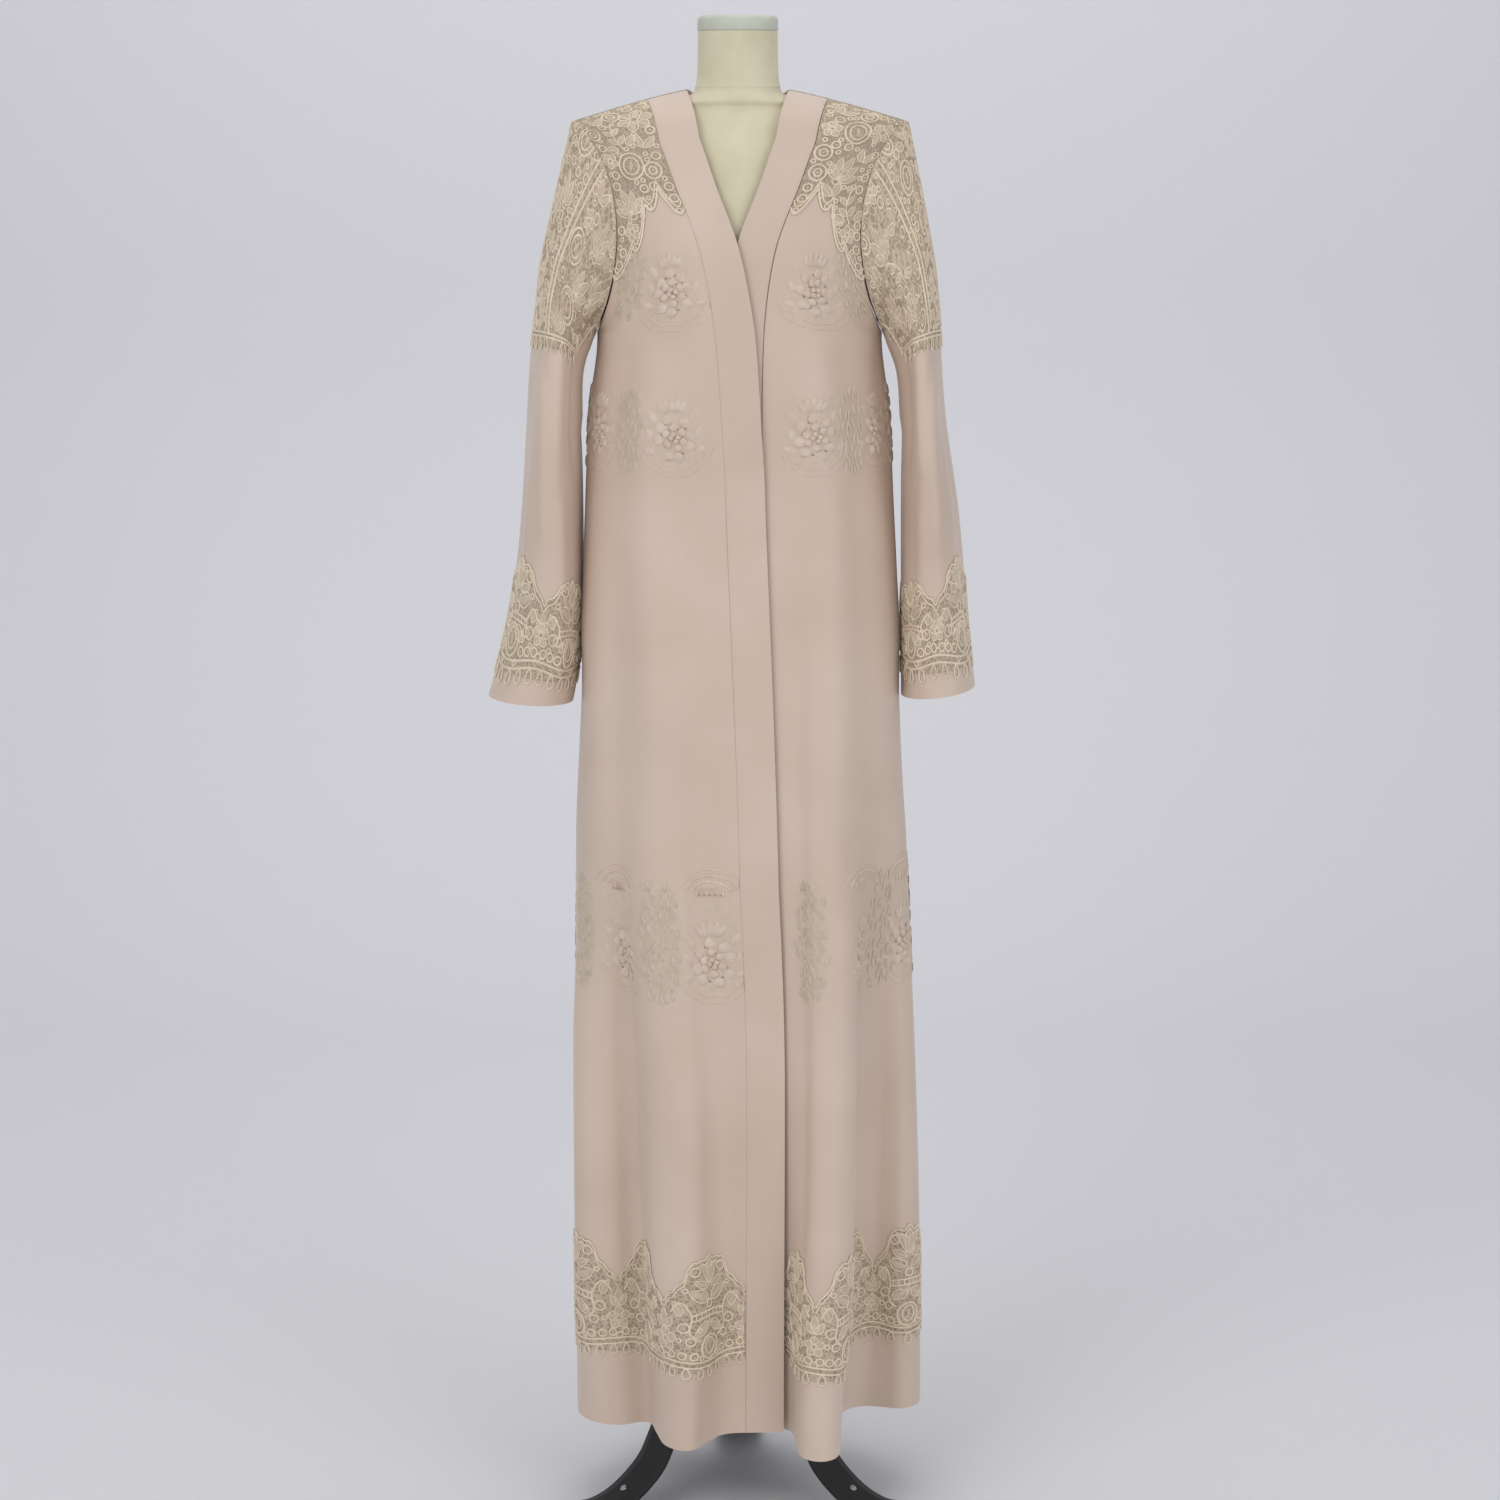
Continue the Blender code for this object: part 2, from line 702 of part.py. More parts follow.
def yoke_lace(name, cloth, edge, insets, finish):
    """Lace from the shoulder seam down to its own scalloped edge."""
    last_column = cloth.columns - 1

    def bottom_at(column):
        limit = edge_at(edge, column / last_column)
        return row_at(ROWS, limit - 0.012 * (1.0 - scallop(round(column), 3)))

    holes = {(4, column) for column in range(1, last_column, 3)}
    holes |= {(5, column) for column in range(2, last_column, 3)}
    lace = Lace(cloth, YOKE_LACE_GAP)
    columns = column_places(last_column, *insets)
    lace.fill(columns, 0, len(YOKE_ROWS), lambda column: 0.0, bottom_at, holes)
    lace.finish(name, finish)


def stitched(drops, every):
    """Relief of the raised stitching, as a function of row and column."""
    def relief(row, column):
        drop = drops[row]
        for start, end in STITCHED_BANDS:
            if start <= drop <= end and (row + column) % every:
                return STITCH_RELIEF
        return 0.0
    return relief


def body_cloth(point_at, columns, has_stitching):
    """Sample one panel of the body on the shared rows."""
    points = [[point_at(column / columns, drop) for column in range(columns + 1)]
              for drop in ROWS]
    relief = stitched(ROWS, 2) if has_stitching else None
    return Cloth(points, relief=relief)


def sleeve_cloth(table, side):
    """Sample a sleeve as a tube of rings."""
    points = []
    for share in SLEEVE_ROWS:
        ring = []
        for column in range(SLEEVE_COLUMNS):
            turn = 2.0 * math.pi * column / SLEEVE_COLUMNS
            ring.append(sleeve_point(table, side, turn, share))
        points.append(ring)
    return Cloth(points, closed=True, flip=side > 0)


def build_front(side_name, point_at, band_at, columns, finishes):
    """Build one front, its band and the lace on it."""
    front = body_cloth(point_at, columns, True)
    cloth_wall(f"{side_name}_front", front, finishes["cloth"])
    band = body_cloth(band_at, BAND_COLUMNS, False)
    cloth_wall(f"{side_name}_front_band", band, finishes["cloth"])
    places = column_places(columns, 0.05, 0.05)
    border_lace(f"{side_name}_front_hem_lace", front, ROWS, places, HEM_LACE, finishes["lace"])
    edge = YOKE_LACE_EDGE
    insets = (ARMHOLE_INSET, 0.05)
    if side_name == "left":
        edge = tuple((1.0 - share, drop) for share, drop in reversed(edge))
        insets = (0.05, ARMHOLE_INSET)
    yoke_lace(f"{side_name}_shoulder_lace", front, edge, insets, finishes["lace"])


def build_back(finishes):
    """Build the back with its yoke lace and hem lace."""
    back = body_cloth(back_point, BACK_COLUMNS, True)
    cloth_wall("back", back, finishes["cloth"])
    places = column_places(BACK_COLUMNS, 0.05, 0.05)
    border_lace("back_hem_lace", back, ROWS, places, HEM_LACE, finishes["lace"])
    insets = (ARMHOLE_INSET, ARMHOLE_INSET)
    yoke_lace("back_shoulder_lace", back, BACK_LACE_EDGE, insets, finishes["lace"])


def build_sleeve(side_name, table, side, finishes):
    """Build a sleeve, the lace over its head and its two cuff laces."""
    sleeve = sleeve_cloth(table, side)
    cloth_wall(f"{side_name}_sleeve", sleeve, finishes["cloth"])
    def bottom_at(column):
        turned = (column + CAP_LACE_REACH) % SLEEVE_COLUMNS
        return CAP_LACE_END - 0.45 * (1.0 - scallop(turned, 10 / 3))

    head = Lace(sleeve)
    columns = list(range(-CAP_LACE_REACH, CAP_LACE_REACH + 1))
    holes = {(row, column) for row, column in ((4, -4), (4, 0), (4, 3), (5, -2), (5, 2))}
    head.fill(columns, 0, int(CAP_LACE_END) + 1, lambda column: CAP_LACE_START, bottom_at, holes)
    head.finish(f"{side_name}_sleeve_head_lace", finishes["lace"])
    half = SLEEVE_COLUMNS // 2
    for part, first in (("front", 0), ("back", half)):
        places = [place + first for place in column_places(half, 0.03, 0.03)]
        name = f"{side_name}_cuff_lace_{part}"
        border_lace(name, sleeve, SLEEVE_ROWS, places, CUFF_LACE, finishes["lace"])


def add_turned(name, levels, sides, finish, is_smooth=True):
    """Build a closed solid from rings given as centre, half width and depths."""
    builder = bmesh.new()
    rings = []
    for centre, half_width, front, back in levels:
        ring = []
        for index in range(sides):
            angle = 2.0 * math.pi * index / sides
            depth = front if math.cos(angle) > 0.0 else back
            offset = Vector((half_width * math.sin(angle), -depth * math.cos(angle), 0.0))
            ring.append(builder.verts.new(centre + offset))
        rings.append(ring)
    for upper, lower in zip(rings, rings[1:]):
        for index in range(sides):
            after = (index + 1) % sides
            builder.faces.new((upper[index], upper[after], lower[after], lower[index]))
    builder.faces.new(rings[0])
    builder.faces.new(rings[-1])
    return add_object(name, builder, finish, is_smooth)


def build_form(finishes):
    """Build the torso of the dress form and the cap on its neck."""
    levels = [(Vector((0.0, 0.0, ring.z)), ring.half_width, ring.front, ring.back)
              for ring in FORM_RINGS]
    add_turned("form_torso", levels, FORM_SIDES, finishes["form"])
    radius = FORM_RINGS[0].half_width
    base = FORM_RINGS[0].z + SEAM_GAP
    profile = ((CAP_HEIGHT, radius - 0.012), (CAP_HEIGHT - 0.002, radius - 0.004),
               (CAP_HEIGHT - 0.007, radius + 0.0005), (0.0, radius + 0.0005))
    levels = [(Vector((0.0, 0.0, base + rise)), reach, reach, reach)
              for rise, reach in profile]
    add_turned("form_neck_cap", levels, FORM_SIDES, finishes["cap"])


def build_leg(name, turn, finish):
    """Sweep one flat, slightly ridged leg out from the hub, and seat its foot."""
    heading = math.radians(turn)
    outward = Vector((math.sin(heading), -math.cos(heading), 0.0))
    across = Vector((math.cos(heading), math.sin(heading), 0.0))
    half = LEG_WIDTH / 2.0
    thick = LEG_THICKNESS / 2.0
    outline = ((-half, -thick), (half, -thick), (half, 0.1 * thick),
               (0.4 * half, thick), (-0.4 * half, thick), (-half, 0.1 * thick))
    builder = bmesh.new()
    rings = []
    last = len(LEG_LINE) - 1
    for index, spot in enumerate(LEG_LINE):
        before = LEG_LINE[max(index - 1, 0)]
        after = LEG_LINE[min(index + 1, last)]
        ahead = (outward * (after.reach - before.reach)
                 + Vector((0.0, 0.0, after.z - before.z))).normalized()
        if index in (0, last):
            ahead = outward
        upward = across.cross(ahead)
        if upward.z < 0.0:
            upward = -upward
        centre = outward * spot.reach + Vector((0.0, 0.0, spot.z))
        if index == last - 1:
            upward = Vector((0.0, 0.0, 1.0))
        rings.append([builder.verts.new(centre + across * a + upward * b) for a, b in outline])
    for first, second in zip(rings, rings[1:]):
        for index in range(len(outline)):
            after = (index + 1) % len(outline)
            builder.faces.new((first[index], first[after], second[after], second[index]))
    builder.faces.new(rings[0])
    builder.faces.new(rings[-1])
    add_object(name, builder, finish, False)


def build_stand(finishes):
    """Build the pole, its hub, the three legs and their feet."""
    stand = finishes["stand"]
    pole = [(Vector((0.0, 0.0, z)), POLE_RADIUS, POLE_RADIUS, POLE_RADIUS)
            for z in (FORM_BOTTOM - SEAM_GAP, HUB_TOP + SEAM_GAP)]
    add_turned("stand_pole", pole, 24, stand)
    hub = [(Vector((0.0, 0.0, z)), HUB_RADIUS, HUB_RADIUS, HUB_RADIUS)
           for z in (HUB_TOP, HUB_BOTTOM)]
    add_turned("stand_hub", hub, 48, stand)
    for name, turn in LEG_TURNS.items():
        build_leg(name, turn, stand)
        heading = math.radians(turn)
        centre = Vector((math.sin(heading), -math.cos(heading), 0.0)) * FOOT_REACH
        foot = [(centre + Vector((0.0, 0.0, z)), FOOT_RADIUS, FOOT_RADIUS, FOOT_RADIUS)
                for z in (FOOT_HEIGHT, 0.0)]
        add_turned(name.replace("leg", "foot"), foot, 24, stand)


def main():
    """Clear the scene and build every piece."""
    for thing in list(bpy.data.objects):
        bpy.data.objects.remove(thing)
    finishes = {
        "cloth": material("satin_crepe", CLOTH_COLOUR, 0.55),
        "lace": material("guipure_lace", LACE_COLOUR, 0.75),
        "form": material("jersey_cover", FORM_COLOUR, 0.85),
        "cap": material("neck_cap", CAP_COLOUR, 0.5),
        "stand": material("black_paint", STAND_COLOUR, 0.35),
    }
    build_front("right", right_front_point, right_band_point, RIGHT_FRONT_COLUMNS, finishes)
    build_front("left", left_front_point, left_band_point, LEFT_FRONT_COLUMNS, finishes)
    build_back(finishes)
    build_sleeve("right", RIGHT_SLEEVE, -1, finishes)
    build_sleeve("left", LEFT_SLEEVE, 1, finishes)
    build_form(finishes)
    build_stand(finishes)


main()
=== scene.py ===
"""Looks of an abaya cloak standing on a limbless dress form and its stand.

Each panel of cloth is laid out again on the same named sizes as the solids,
much finer and with its own creases.  Lace and stitching are real cords and
filled petals that follow the cloth.  Lengths are metres, motifs millimetres.
"""
import logging
import math
import random
from dataclasses import dataclass, field
from enum import Enum
from functools import lru_cache
from typing import Callable, NamedTuple, Sequence

import bmesh
import bpy
import numpy as np
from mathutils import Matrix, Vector
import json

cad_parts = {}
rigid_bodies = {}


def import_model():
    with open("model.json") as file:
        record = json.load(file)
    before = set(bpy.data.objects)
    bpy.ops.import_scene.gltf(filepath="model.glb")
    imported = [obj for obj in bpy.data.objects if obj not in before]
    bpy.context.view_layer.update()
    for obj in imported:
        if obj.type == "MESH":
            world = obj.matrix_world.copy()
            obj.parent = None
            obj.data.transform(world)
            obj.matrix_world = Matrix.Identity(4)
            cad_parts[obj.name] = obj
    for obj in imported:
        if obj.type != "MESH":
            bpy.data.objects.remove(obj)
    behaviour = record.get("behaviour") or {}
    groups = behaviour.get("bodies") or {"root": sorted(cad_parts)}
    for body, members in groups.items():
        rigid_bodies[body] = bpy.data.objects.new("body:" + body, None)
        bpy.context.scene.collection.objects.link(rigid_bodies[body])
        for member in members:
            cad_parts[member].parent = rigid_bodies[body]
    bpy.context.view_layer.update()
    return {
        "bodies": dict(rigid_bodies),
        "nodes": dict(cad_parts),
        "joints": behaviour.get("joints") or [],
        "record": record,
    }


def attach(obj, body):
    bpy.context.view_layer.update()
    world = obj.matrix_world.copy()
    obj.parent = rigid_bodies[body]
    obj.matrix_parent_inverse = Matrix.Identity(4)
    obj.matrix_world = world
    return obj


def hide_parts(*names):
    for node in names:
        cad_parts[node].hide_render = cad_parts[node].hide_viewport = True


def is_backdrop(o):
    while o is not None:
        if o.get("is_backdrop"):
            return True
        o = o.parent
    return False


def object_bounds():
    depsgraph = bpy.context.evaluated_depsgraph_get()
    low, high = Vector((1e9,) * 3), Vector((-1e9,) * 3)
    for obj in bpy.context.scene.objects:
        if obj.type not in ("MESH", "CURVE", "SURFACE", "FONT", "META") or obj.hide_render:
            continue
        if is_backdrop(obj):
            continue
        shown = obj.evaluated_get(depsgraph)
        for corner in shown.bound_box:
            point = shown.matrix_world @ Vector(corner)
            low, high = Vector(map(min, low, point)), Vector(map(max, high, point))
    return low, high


LOG = logging.getLogger("abaya")

# Driving sizes, as in the solids
ORIGIN_SHIFT = np.array((0.0068, -0.0225, 0.0))
SHOULDER_HEIGHT = 1.570
GARMENT_LENGTH = 1.467
UNDERARM_DROP = 0.255
SHOULDER_FALL = 0.034
NECK_HALF_WIDTH = 0.055
BACK_NECK_SCOOP = 0.022
ARMHOLE_CUT_IN = math.radians(38.0)
BAND_WIDTH = 0.042
LAP_DEPTH = 0.006
CLOTH_WALL = 0.0013
SEAM_GAP = 0.0003

TIGHT_GAP = 0.00005


class CrownPoint(NamedTuple):
    """A point of a lace crown's outline: share of a half repeat, and height."""

    share: float
    height: float

CROWN = (
    CrownPoint(0.00, 1.00),
    CrownPoint(0.05, 0.985),
    CrownPoint(0.10, 0.93),
    CrownPoint(0.17, 0.90),
    CrownPoint(0.30, 0.90),
    CrownPoint(0.42, 0.88),
    CrownPoint(0.52, 0.74),
    CrownPoint(0.56, 0.52),
    CrownPoint(0.68, 0.38),
    CrownPoint(0.84, 0.20),
    CrownPoint(1.00, 0.00),
)
FOLD_START = 0.45
FOLD_POWER = 1.3
ROW_POWER = 1.35
SLEEVE_LENGTH = 0.71

# Photograph: the view's own values
CAMERA_PLACE = (0.0198, -4.0225, 1.575)
CAMERA_DIP = math.radians(10.2)
CAMERA_LENS = 88.68
PHOTO_SENSOR = 36.0

Point2 = tuple[float, float]


class Section(NamedTuple):
    """One level of the body: half widths each way and depths, at a drop."""

    drop: float
    right: float
    left: float
    front: float
    back: float


SECTIONS = (
    Section(0.000, 0.1735, 0.1784, 0.000, 0.000),
    Section(0.020, 0.1720, 0.1765, 0.055, 0.062),
    Section(0.050, 0.1680, 0.1720, 0.080, 0.085),
    Section(0.100, 0.1630, 0.1665, 0.100, 0.102),
    Section(0.160, 0.1570, 0.1600, 0.114, 0.110),
    Section(0.255, 0.1500, 0.1530, 0.122, 0.110),
    Section(0.330, 0.1540, 0.1560, 0.120, 0.106),
    Section(0.430, 0.1580, 0.1600, 0.114, 0.106),
    Section(0.530, 0.1610, 0.1640, 0.113, 0.112),
    Section(0.620, 0.1655, 0.1690, 0.115, 0.118),
    Section(0.800, 0.1740, 0.1760, 0.118, 0.124),
    Section(1.467, 0.1820, 0.2000, 0.130, 0.132),
)


class Edge(NamedTuple):
    """Where the opening edge of each front lies, by its drop."""

    drop: float
    right_front: float
    left_front: float


EDGES = (
    Edge(0.000, -0.055, 0.055),
    Edge(0.050, -0.040, 0.040),
    Edge(0.100, -0.022, 0.022),
    Edge(0.165, 0.002, -0.002),
    Edge(0.250, 0.018, -0.014),
    Edge(0.400, 0.028, -0.016),
    Edge(0.850, 0.041, -0.012),
    Edge(1.050, 0.051, -0.006),
    Edge(1.467, 0.0505, -0.002),
)


class HemPoint(NamedTuple):
    """A turn of the hem seen from above, and how far it dips."""

    x: float
    y: float
    dip: float


RIGHT_FRONT_HEM = (
    HemPoint(-0.182, 0.005, 0.000),
    HemPoint(-0.177, -0.035, 0.000),
    HemPoint(-0.158, -0.062, 0.001),
    HemPoint(-0.132, -0.068, 0.002),
    HemPoint(-0.108, -0.060, 0.001),
    HemPoint(-0.095, -0.064, 0.002),
    HemPoint(-0.089, -0.090, 0.003),
    HemPoint(-0.082, -0.120, 0.005),
    HemPoint(-0.066, -0.135, 0.006),
    HemPoint(-0.050, -0.134, 0.006),
    HemPoint(-0.036, -0.114, 0.004),
    HemPoint(-0.018, -0.098, 0.002),
    HemPoint(0.0080, -0.094, 0.001),
)
RIGHT_BAND_HEM = (
    HemPoint(0.0080, -0.094, 0.001),
    HemPoint(0.0290, -0.093, 0.001),
    HemPoint(0.0505, -0.093, 0.001),
)
LEFT_BAND_HEM = (
    HemPoint(-0.002, -0.083, 0.000),
    HemPoint(0.020, -0.082, 0.000),
    HemPoint(0.042, -0.082, 0.000),
)
LEFT_FRONT_HEM = (
    HemPoint(0.042, -0.082, 0.000),
    HemPoint(0.051, -0.0825, 0.001),
    HemPoint(0.060, -0.092, 0.002),
    HemPoint(0.064, -0.122, 0.006),
    HemPoint(0.071, -0.148, 0.009),
    HemPoint(0.089, -0.158, 0.010),
    HemPoint(0.106, -0.150, 0.009),
    HemPoint(0.113, -0.124, 0.005),
    HemPoint(0.111, -0.090, 0.002),
    HemPoint(0.111, -0.055, 0.000),
    HemPoint(0.120, -0.026, 0.000),
    HemPoint(0.140, -0.014, 0.000),
    HemPoint(0.162, -0.016, 0.000),
    HemPoint(0.182, -0.020, 0.000),
    HemPoint(0.200, -0.006, 0.000),
    HemPoint(0.206, 0.022, 0.000),
)
BACK_HEM = (
    HemPoint(0.206, 0.022, 0.000),
    HemPoint(0.200, 0.054, 0.000),
    HemPoint(0.180, 0.072, 0.000),
    HemPoint(0.162, 0.092, 0.000),
    HemPoint(0.156, 0.122, 0.001),
    HemPoint(0.136, 0.142, 0.002),
    HemPoint(0.112, 0.136, 0.002),
    HemPoint(0.096, 0.114, 0.001),
    HemPoint(0.076, 0.114, 0.001),
    HemPoint(0.058, 0.138, 0.003),
    HemPoint(0.034, 0.158, 0.004),
    HemPoint(0.008, 0.152, 0.003),
    HemPoint(-0.012, 0.126, 0.001),
    HemPoint(-0.036, 0.120, 0.001),
    HemPoint(-0.056, 0.142, 0.003),
    HemPoint(-0.080, 0.156, 0.004),
    HemPoint(-0.104, 0.144, 0.002),
    HemPoint(-0.114, 0.114, 0.001),
    HemPoint(-0.132, 0.096, 0.000),
    HemPoint(-0.156, 0.086, 0.000),
    HemPoint(-0.174, 0.062, 0.000),
    HemPoint(-0.182, 0.034, 0.000),
    HemPoint(-0.182, 0.005, 0.000),
)


class SleeveRing(NamedTuple):
    """One ring of a sleeve: its outer and inner points and half its depth."""

    outer_x: float
    outer_z: float
    inner_x: float
    inner_z: float
    half_depth: float


RIGHT_SLEEVE = (
    SleeveRing(-0.1738, 1.536, -0.1500, 1.315, 0.062),
    SleeveRing(-0.1870, 1.486, -0.1565, 1.305, 0.068),
    SleeveRing(-0.1993, 1.433, -0.1640, 1.290, 0.076),
    SleeveRing(-0.2094, 1.388, -0.1695, 1.267, 0.082),
    SleeveRing(-0.2153, 1.337, -0.1710, 1.234, 0.085),
    SleeveRing(-0.2223, 1.283, -0.1705, 1.197, 0.085),
    SleeveRing(-0.2273, 1.218, -0.1700, 1.153, 0.083),
    SleeveRing(-0.2337, 1.131, -0.1700, 1.088, 0.078),
    SleeveRing(-0.2410, 1.060, -0.1705, 1.027, 0.072),
    SleeveRing(-0.2538, 0.989, -0.1740, 0.967, 0.066),
    SleeveRing(-0.2722, 0.918, -0.1820, 0.912, 0.060),
)
LEFT_SLEEVE = (
    SleeveRing(0.1784, 1.536, 0.1530, 1.315, 0.062),
    SleeveRing(0.1884, 1.496, 0.1590, 1.307, 0.068),
    SleeveRing(0.1990, 1.443, 0.1670, 1.290, 0.076),
    SleeveRing(0.2085, 1.388, 0.1745, 1.267, 0.082),
    SleeveRing(0.2144, 1.337, 0.1780, 1.234, 0.085),
    SleeveRing(0.2181, 1.283, 0.1790, 1.197, 0.085),
    SleeveRing(0.2240, 1.218, 0.1785, 1.153, 0.083),
    SleeveRing(0.2369, 1.131, 0.1785, 1.088, 0.078),
    SleeveRing(0.2441, 1.060, 0.1785, 1.027, 0.072),
    SleeveRing(0.2503, 0.989, 0.1795, 0.978, 0.066),
    SleeveRing(0.2585, 0.929, 0.1800, 0.918, 0.060),
)


class Crease(NamedTuple):
    """A ridge or groove down a panel: where, how wide, how high, in metres."""

    share: float
    slant: float
    top: float
    bottom: float
    width: float
    height: float


RIGHT_FRONT_CREASES = (
    Crease(0.70, 0.02, 0.24, 0.78, 0.040, 0.0074),
    Crease(0.52, -0.03, 0.30, 1.05, 0.050, 0.0064),
    Crease(0.86, 0.00, 0.34, 0.98, 0.026, -0.0048),
    Crease(0.30, -0.04, 0.33, 0.92, 0.038, 0.0067),
    Crease(0.12, 0.03, 0.26, 0.66, 0.026, 0.0070),
    Crease(0.62, 0.03, 0.72, 1.40, 0.022, 0.0080),
    Crease(0.93, 0.01, 0.60, 1.42, 0.018, 0.0042),
    Crease(0.20, 0.02, 0.90, 1.46, 0.026, 0.0077),
    Crease(0.42, -0.01, 0.84, 1.38, 0.020, -0.0058),
    Crease(0.80, 0.02, 0.98, 1.46, 0.024, 0.0058),
)
LEFT_FRONT_CREASES = (
    Crease(0.30, -0.02, 0.22, 0.84, 0.034, 0.0069),
    Crease(0.52, 0.03, 0.30, 1.00, 0.042, 0.0060),
    Crease(0.16, 0.00, 0.40, 1.36, 0.018, -0.0051),
    Crease(0.74, 0.03, 0.34, 0.96, 0.034, 0.0060),
    Crease(0.90, -0.02, 0.26, 0.66, 0.024, 0.0066),
    Crease(0.40, 0.02, 0.80, 1.44, 0.020, 0.0066),
    Crease(0.62, -0.02, 0.76, 1.42, 0.018, -0.0048),
    Crease(0.84, 0.01, 0.92, 1.46, 0.022, 0.0057),
)
BACK_CREASES = (
    Crease(0.18, 0.02, 0.20, 0.84, 0.022, 0.0059),
    Crease(0.34, -0.01, 0.28, 1.10, 0.028, 0.0056),
    Crease(0.52, 0.01, 0.16, 0.94, 0.022, 0.0062),
    Crease(0.67, 0.02, 0.30, 1.16, 0.030, 0.0053),
    Crease(0.83, -0.02, 0.22, 0.90, 0.020, 0.0059),
    Crease(0.44, 0.00, 0.60, 1.44, 0.016, -0.0048),
    Crease(0.26, 0.01, 0.82, 1.46, 0.020, 0.0056),
    Crease(0.74, -0.01, 0.90, 1.44, 0.020, -0.0048),
)


class SleeveCrease(NamedTuple):
    """A fold along a sleeve: its turns, in degrees, and its reach and height."""

    turn: float
    twist: float
    top: float
    bottom: float
    width: float
    height: float


SLEEVE_CREASES = (
    SleeveCrease(141.0, -1.0, 0.02, 0.62, 7.0, -0.0056),
    SleeveCrease(104.0, -4.0, 0.06, 0.66, 12.0, 0.0034),
    SleeveCrease(62.0, 24.0, 0.44, 0.76, 14.0, 0.0034),
    SleeveCrease(160.0, 6.0, 0.10, 0.50, 8.0, 0.0034),
    SleeveCrease(36.0, -18.0, 0.46, 0.96, 12.0, -0.0028),
    SleeveCrease(108.0, 14.0, 0.62, 0.98, 10.0, 0.0032),
    SleeveCrease(214.0, -16.0, 0.10, 0.52, 12.0, -0.0040),
    SleeveCrease(262.0, 14.0, 0.20, 0.90, 14.0, 0.0036),
    SleeveCrease(318.0, -12.0, 0.38, 0.95, 13.0, -0.0028),
)


class LaceSpan(NamedTuple):
    """A border's peak, notch and lower edge, as drops or sleeve shares."""

    top: float
    valley: float
    bottom: float


HEM_LACE = LaceSpan(1.248, 1.297, 1.389)
CUFF_LACE = LaceSpan(0.768, 0.822, 0.965)
YOKE_LACE_EDGE = ((0.0, 0.205), (0.25, 0.175), (0.5, 0.128), (0.75, 0.112), (1.0, 0.135))
BACK_LACE_EDGE = ((0.0, 0.205), (0.2, 0.160), (0.5, 0.125), (0.8, 0.160), (1.0, 0.205))
HEAD_LACE_START = 0.004
HEAD_LACE_END = 0.44
HEAD_LACE_REACH = 156.0


def smooth(value: float) -> float:
    """Ease 0 to 1 with level ends."""
    value = min(max(value, 0.0), 1.0)
    return value * value * (3.0 - 2.0 * value)


def blend(points: Sequence[Sequence[float]], position: float) -> list[float]:
    """Pass a smooth curve through rows of numbers.

    Args:
        points: The rows, met at whole positions.
        position: The place along them.

    Returns:
        The numbers at that place.
    """
    last = len(points) - 1
    position = min(max(position, 0.0), float(last))
    index = min(int(position), last - 1)
    share = position - index
    before = points[max(index - 1, 0)]
    after = points[min(index + 2, last)]
    result = []
    for a, b, c, d in zip(before, points[index], points[index + 1], after):
        bend = (2.0 * a - 5.0 * b + 4.0 * c - d) * share
        curl = (3.0 * b - 3.0 * c + d - a) * share * share
        result.append(b + 0.5 * share * (c - a + bend + curl))
    return result


@lru_cache(maxsize=None)
def at_drop(table: tuple, drop: float) -> tuple[float, ...]:
    """Read a table of levels at a drop, evenly in the drop's square root."""
    key = math.sqrt(max(drop, 0.0))
    for index in range(len(table) - 1):
        low = math.sqrt(table[index][0])
        high = math.sqrt(table[index + 1][0])
        if key <= high or index == len(table) - 2:
            share = (key - low) / (high - low)
            return tuple(blend(table, index + min(share, 1.0)))
    return tuple(table[-1])


@lru_cache(maxsize=None)
def hem_point(table: tuple, share: float) -> HemPoint:
    """A point of a hem plan at a share of its length."""
    steps = [0.0]
    for start, end in zip(table, table[1:]):
        steps.append(steps[-1] + math.hypot(end.x - start.x, end.y - start.y))
    wanted = share * steps[-1]
    for index in range(len(table) - 1):
        if wanted <= steps[index + 1] or index == len(table) - 2:
            part = (wanted - steps[index]) / (steps[index + 1] - steps[index])
            return HemPoint(*blend(table, index + min(part, 1.0)))
    return table[-1]


def ring_point(angle: float, drop: float) -> Vector:
    """A point of the body's ring.

    Args:
        angle: Radians from the front, positive to the wearer's left.
        drop: Metres below the shoulder line.

    Returns:
        The point, before the part's shift to its origin.
    """
    level = Section(*at_drop(SECTIONS, drop))
    half_width = level.right if math.sin(angle) < 0.0 else level.left
    depth = level.front if math.cos(angle) > 0.0 else level.back
    forward = math.copysign(1.0, math.cos(angle))
    x = half_width * math.sin(angle)
    y = -depth * math.cos(angle) - forward * SEAM_GAP * max(1.0 - drop / 0.030, 0.0)
    fall = min(max((abs(x) - 0.045) / (half_width - 0.045), 0.0), 1.0) ** 1.2
    slope = max(1.0 - drop / UNDERARM_DROP, 0.0) ** 2
    return Vector((x, y, SHOULDER_HEIGHT - drop - slope * SHOULDER_FALL * fall))


def angle_at(x: float, drop: float) -> float:
    """The ring angle at which the front reaches x."""
    level = Section(*at_drop(SECTIONS, drop))
    return math.asin(x / (level.right if x < 0.0 else level.left))


def armhole_turn(drop: float) -> float:
    """How far round from the side the armhole has cut in at a drop."""
    if drop >= UNDERARM_DROP:
        return 0.0
    return ARMHOLE_CUT_IN * math.sin(math.acos(1.0 - 2.0 * drop / UNDERARM_DROP))


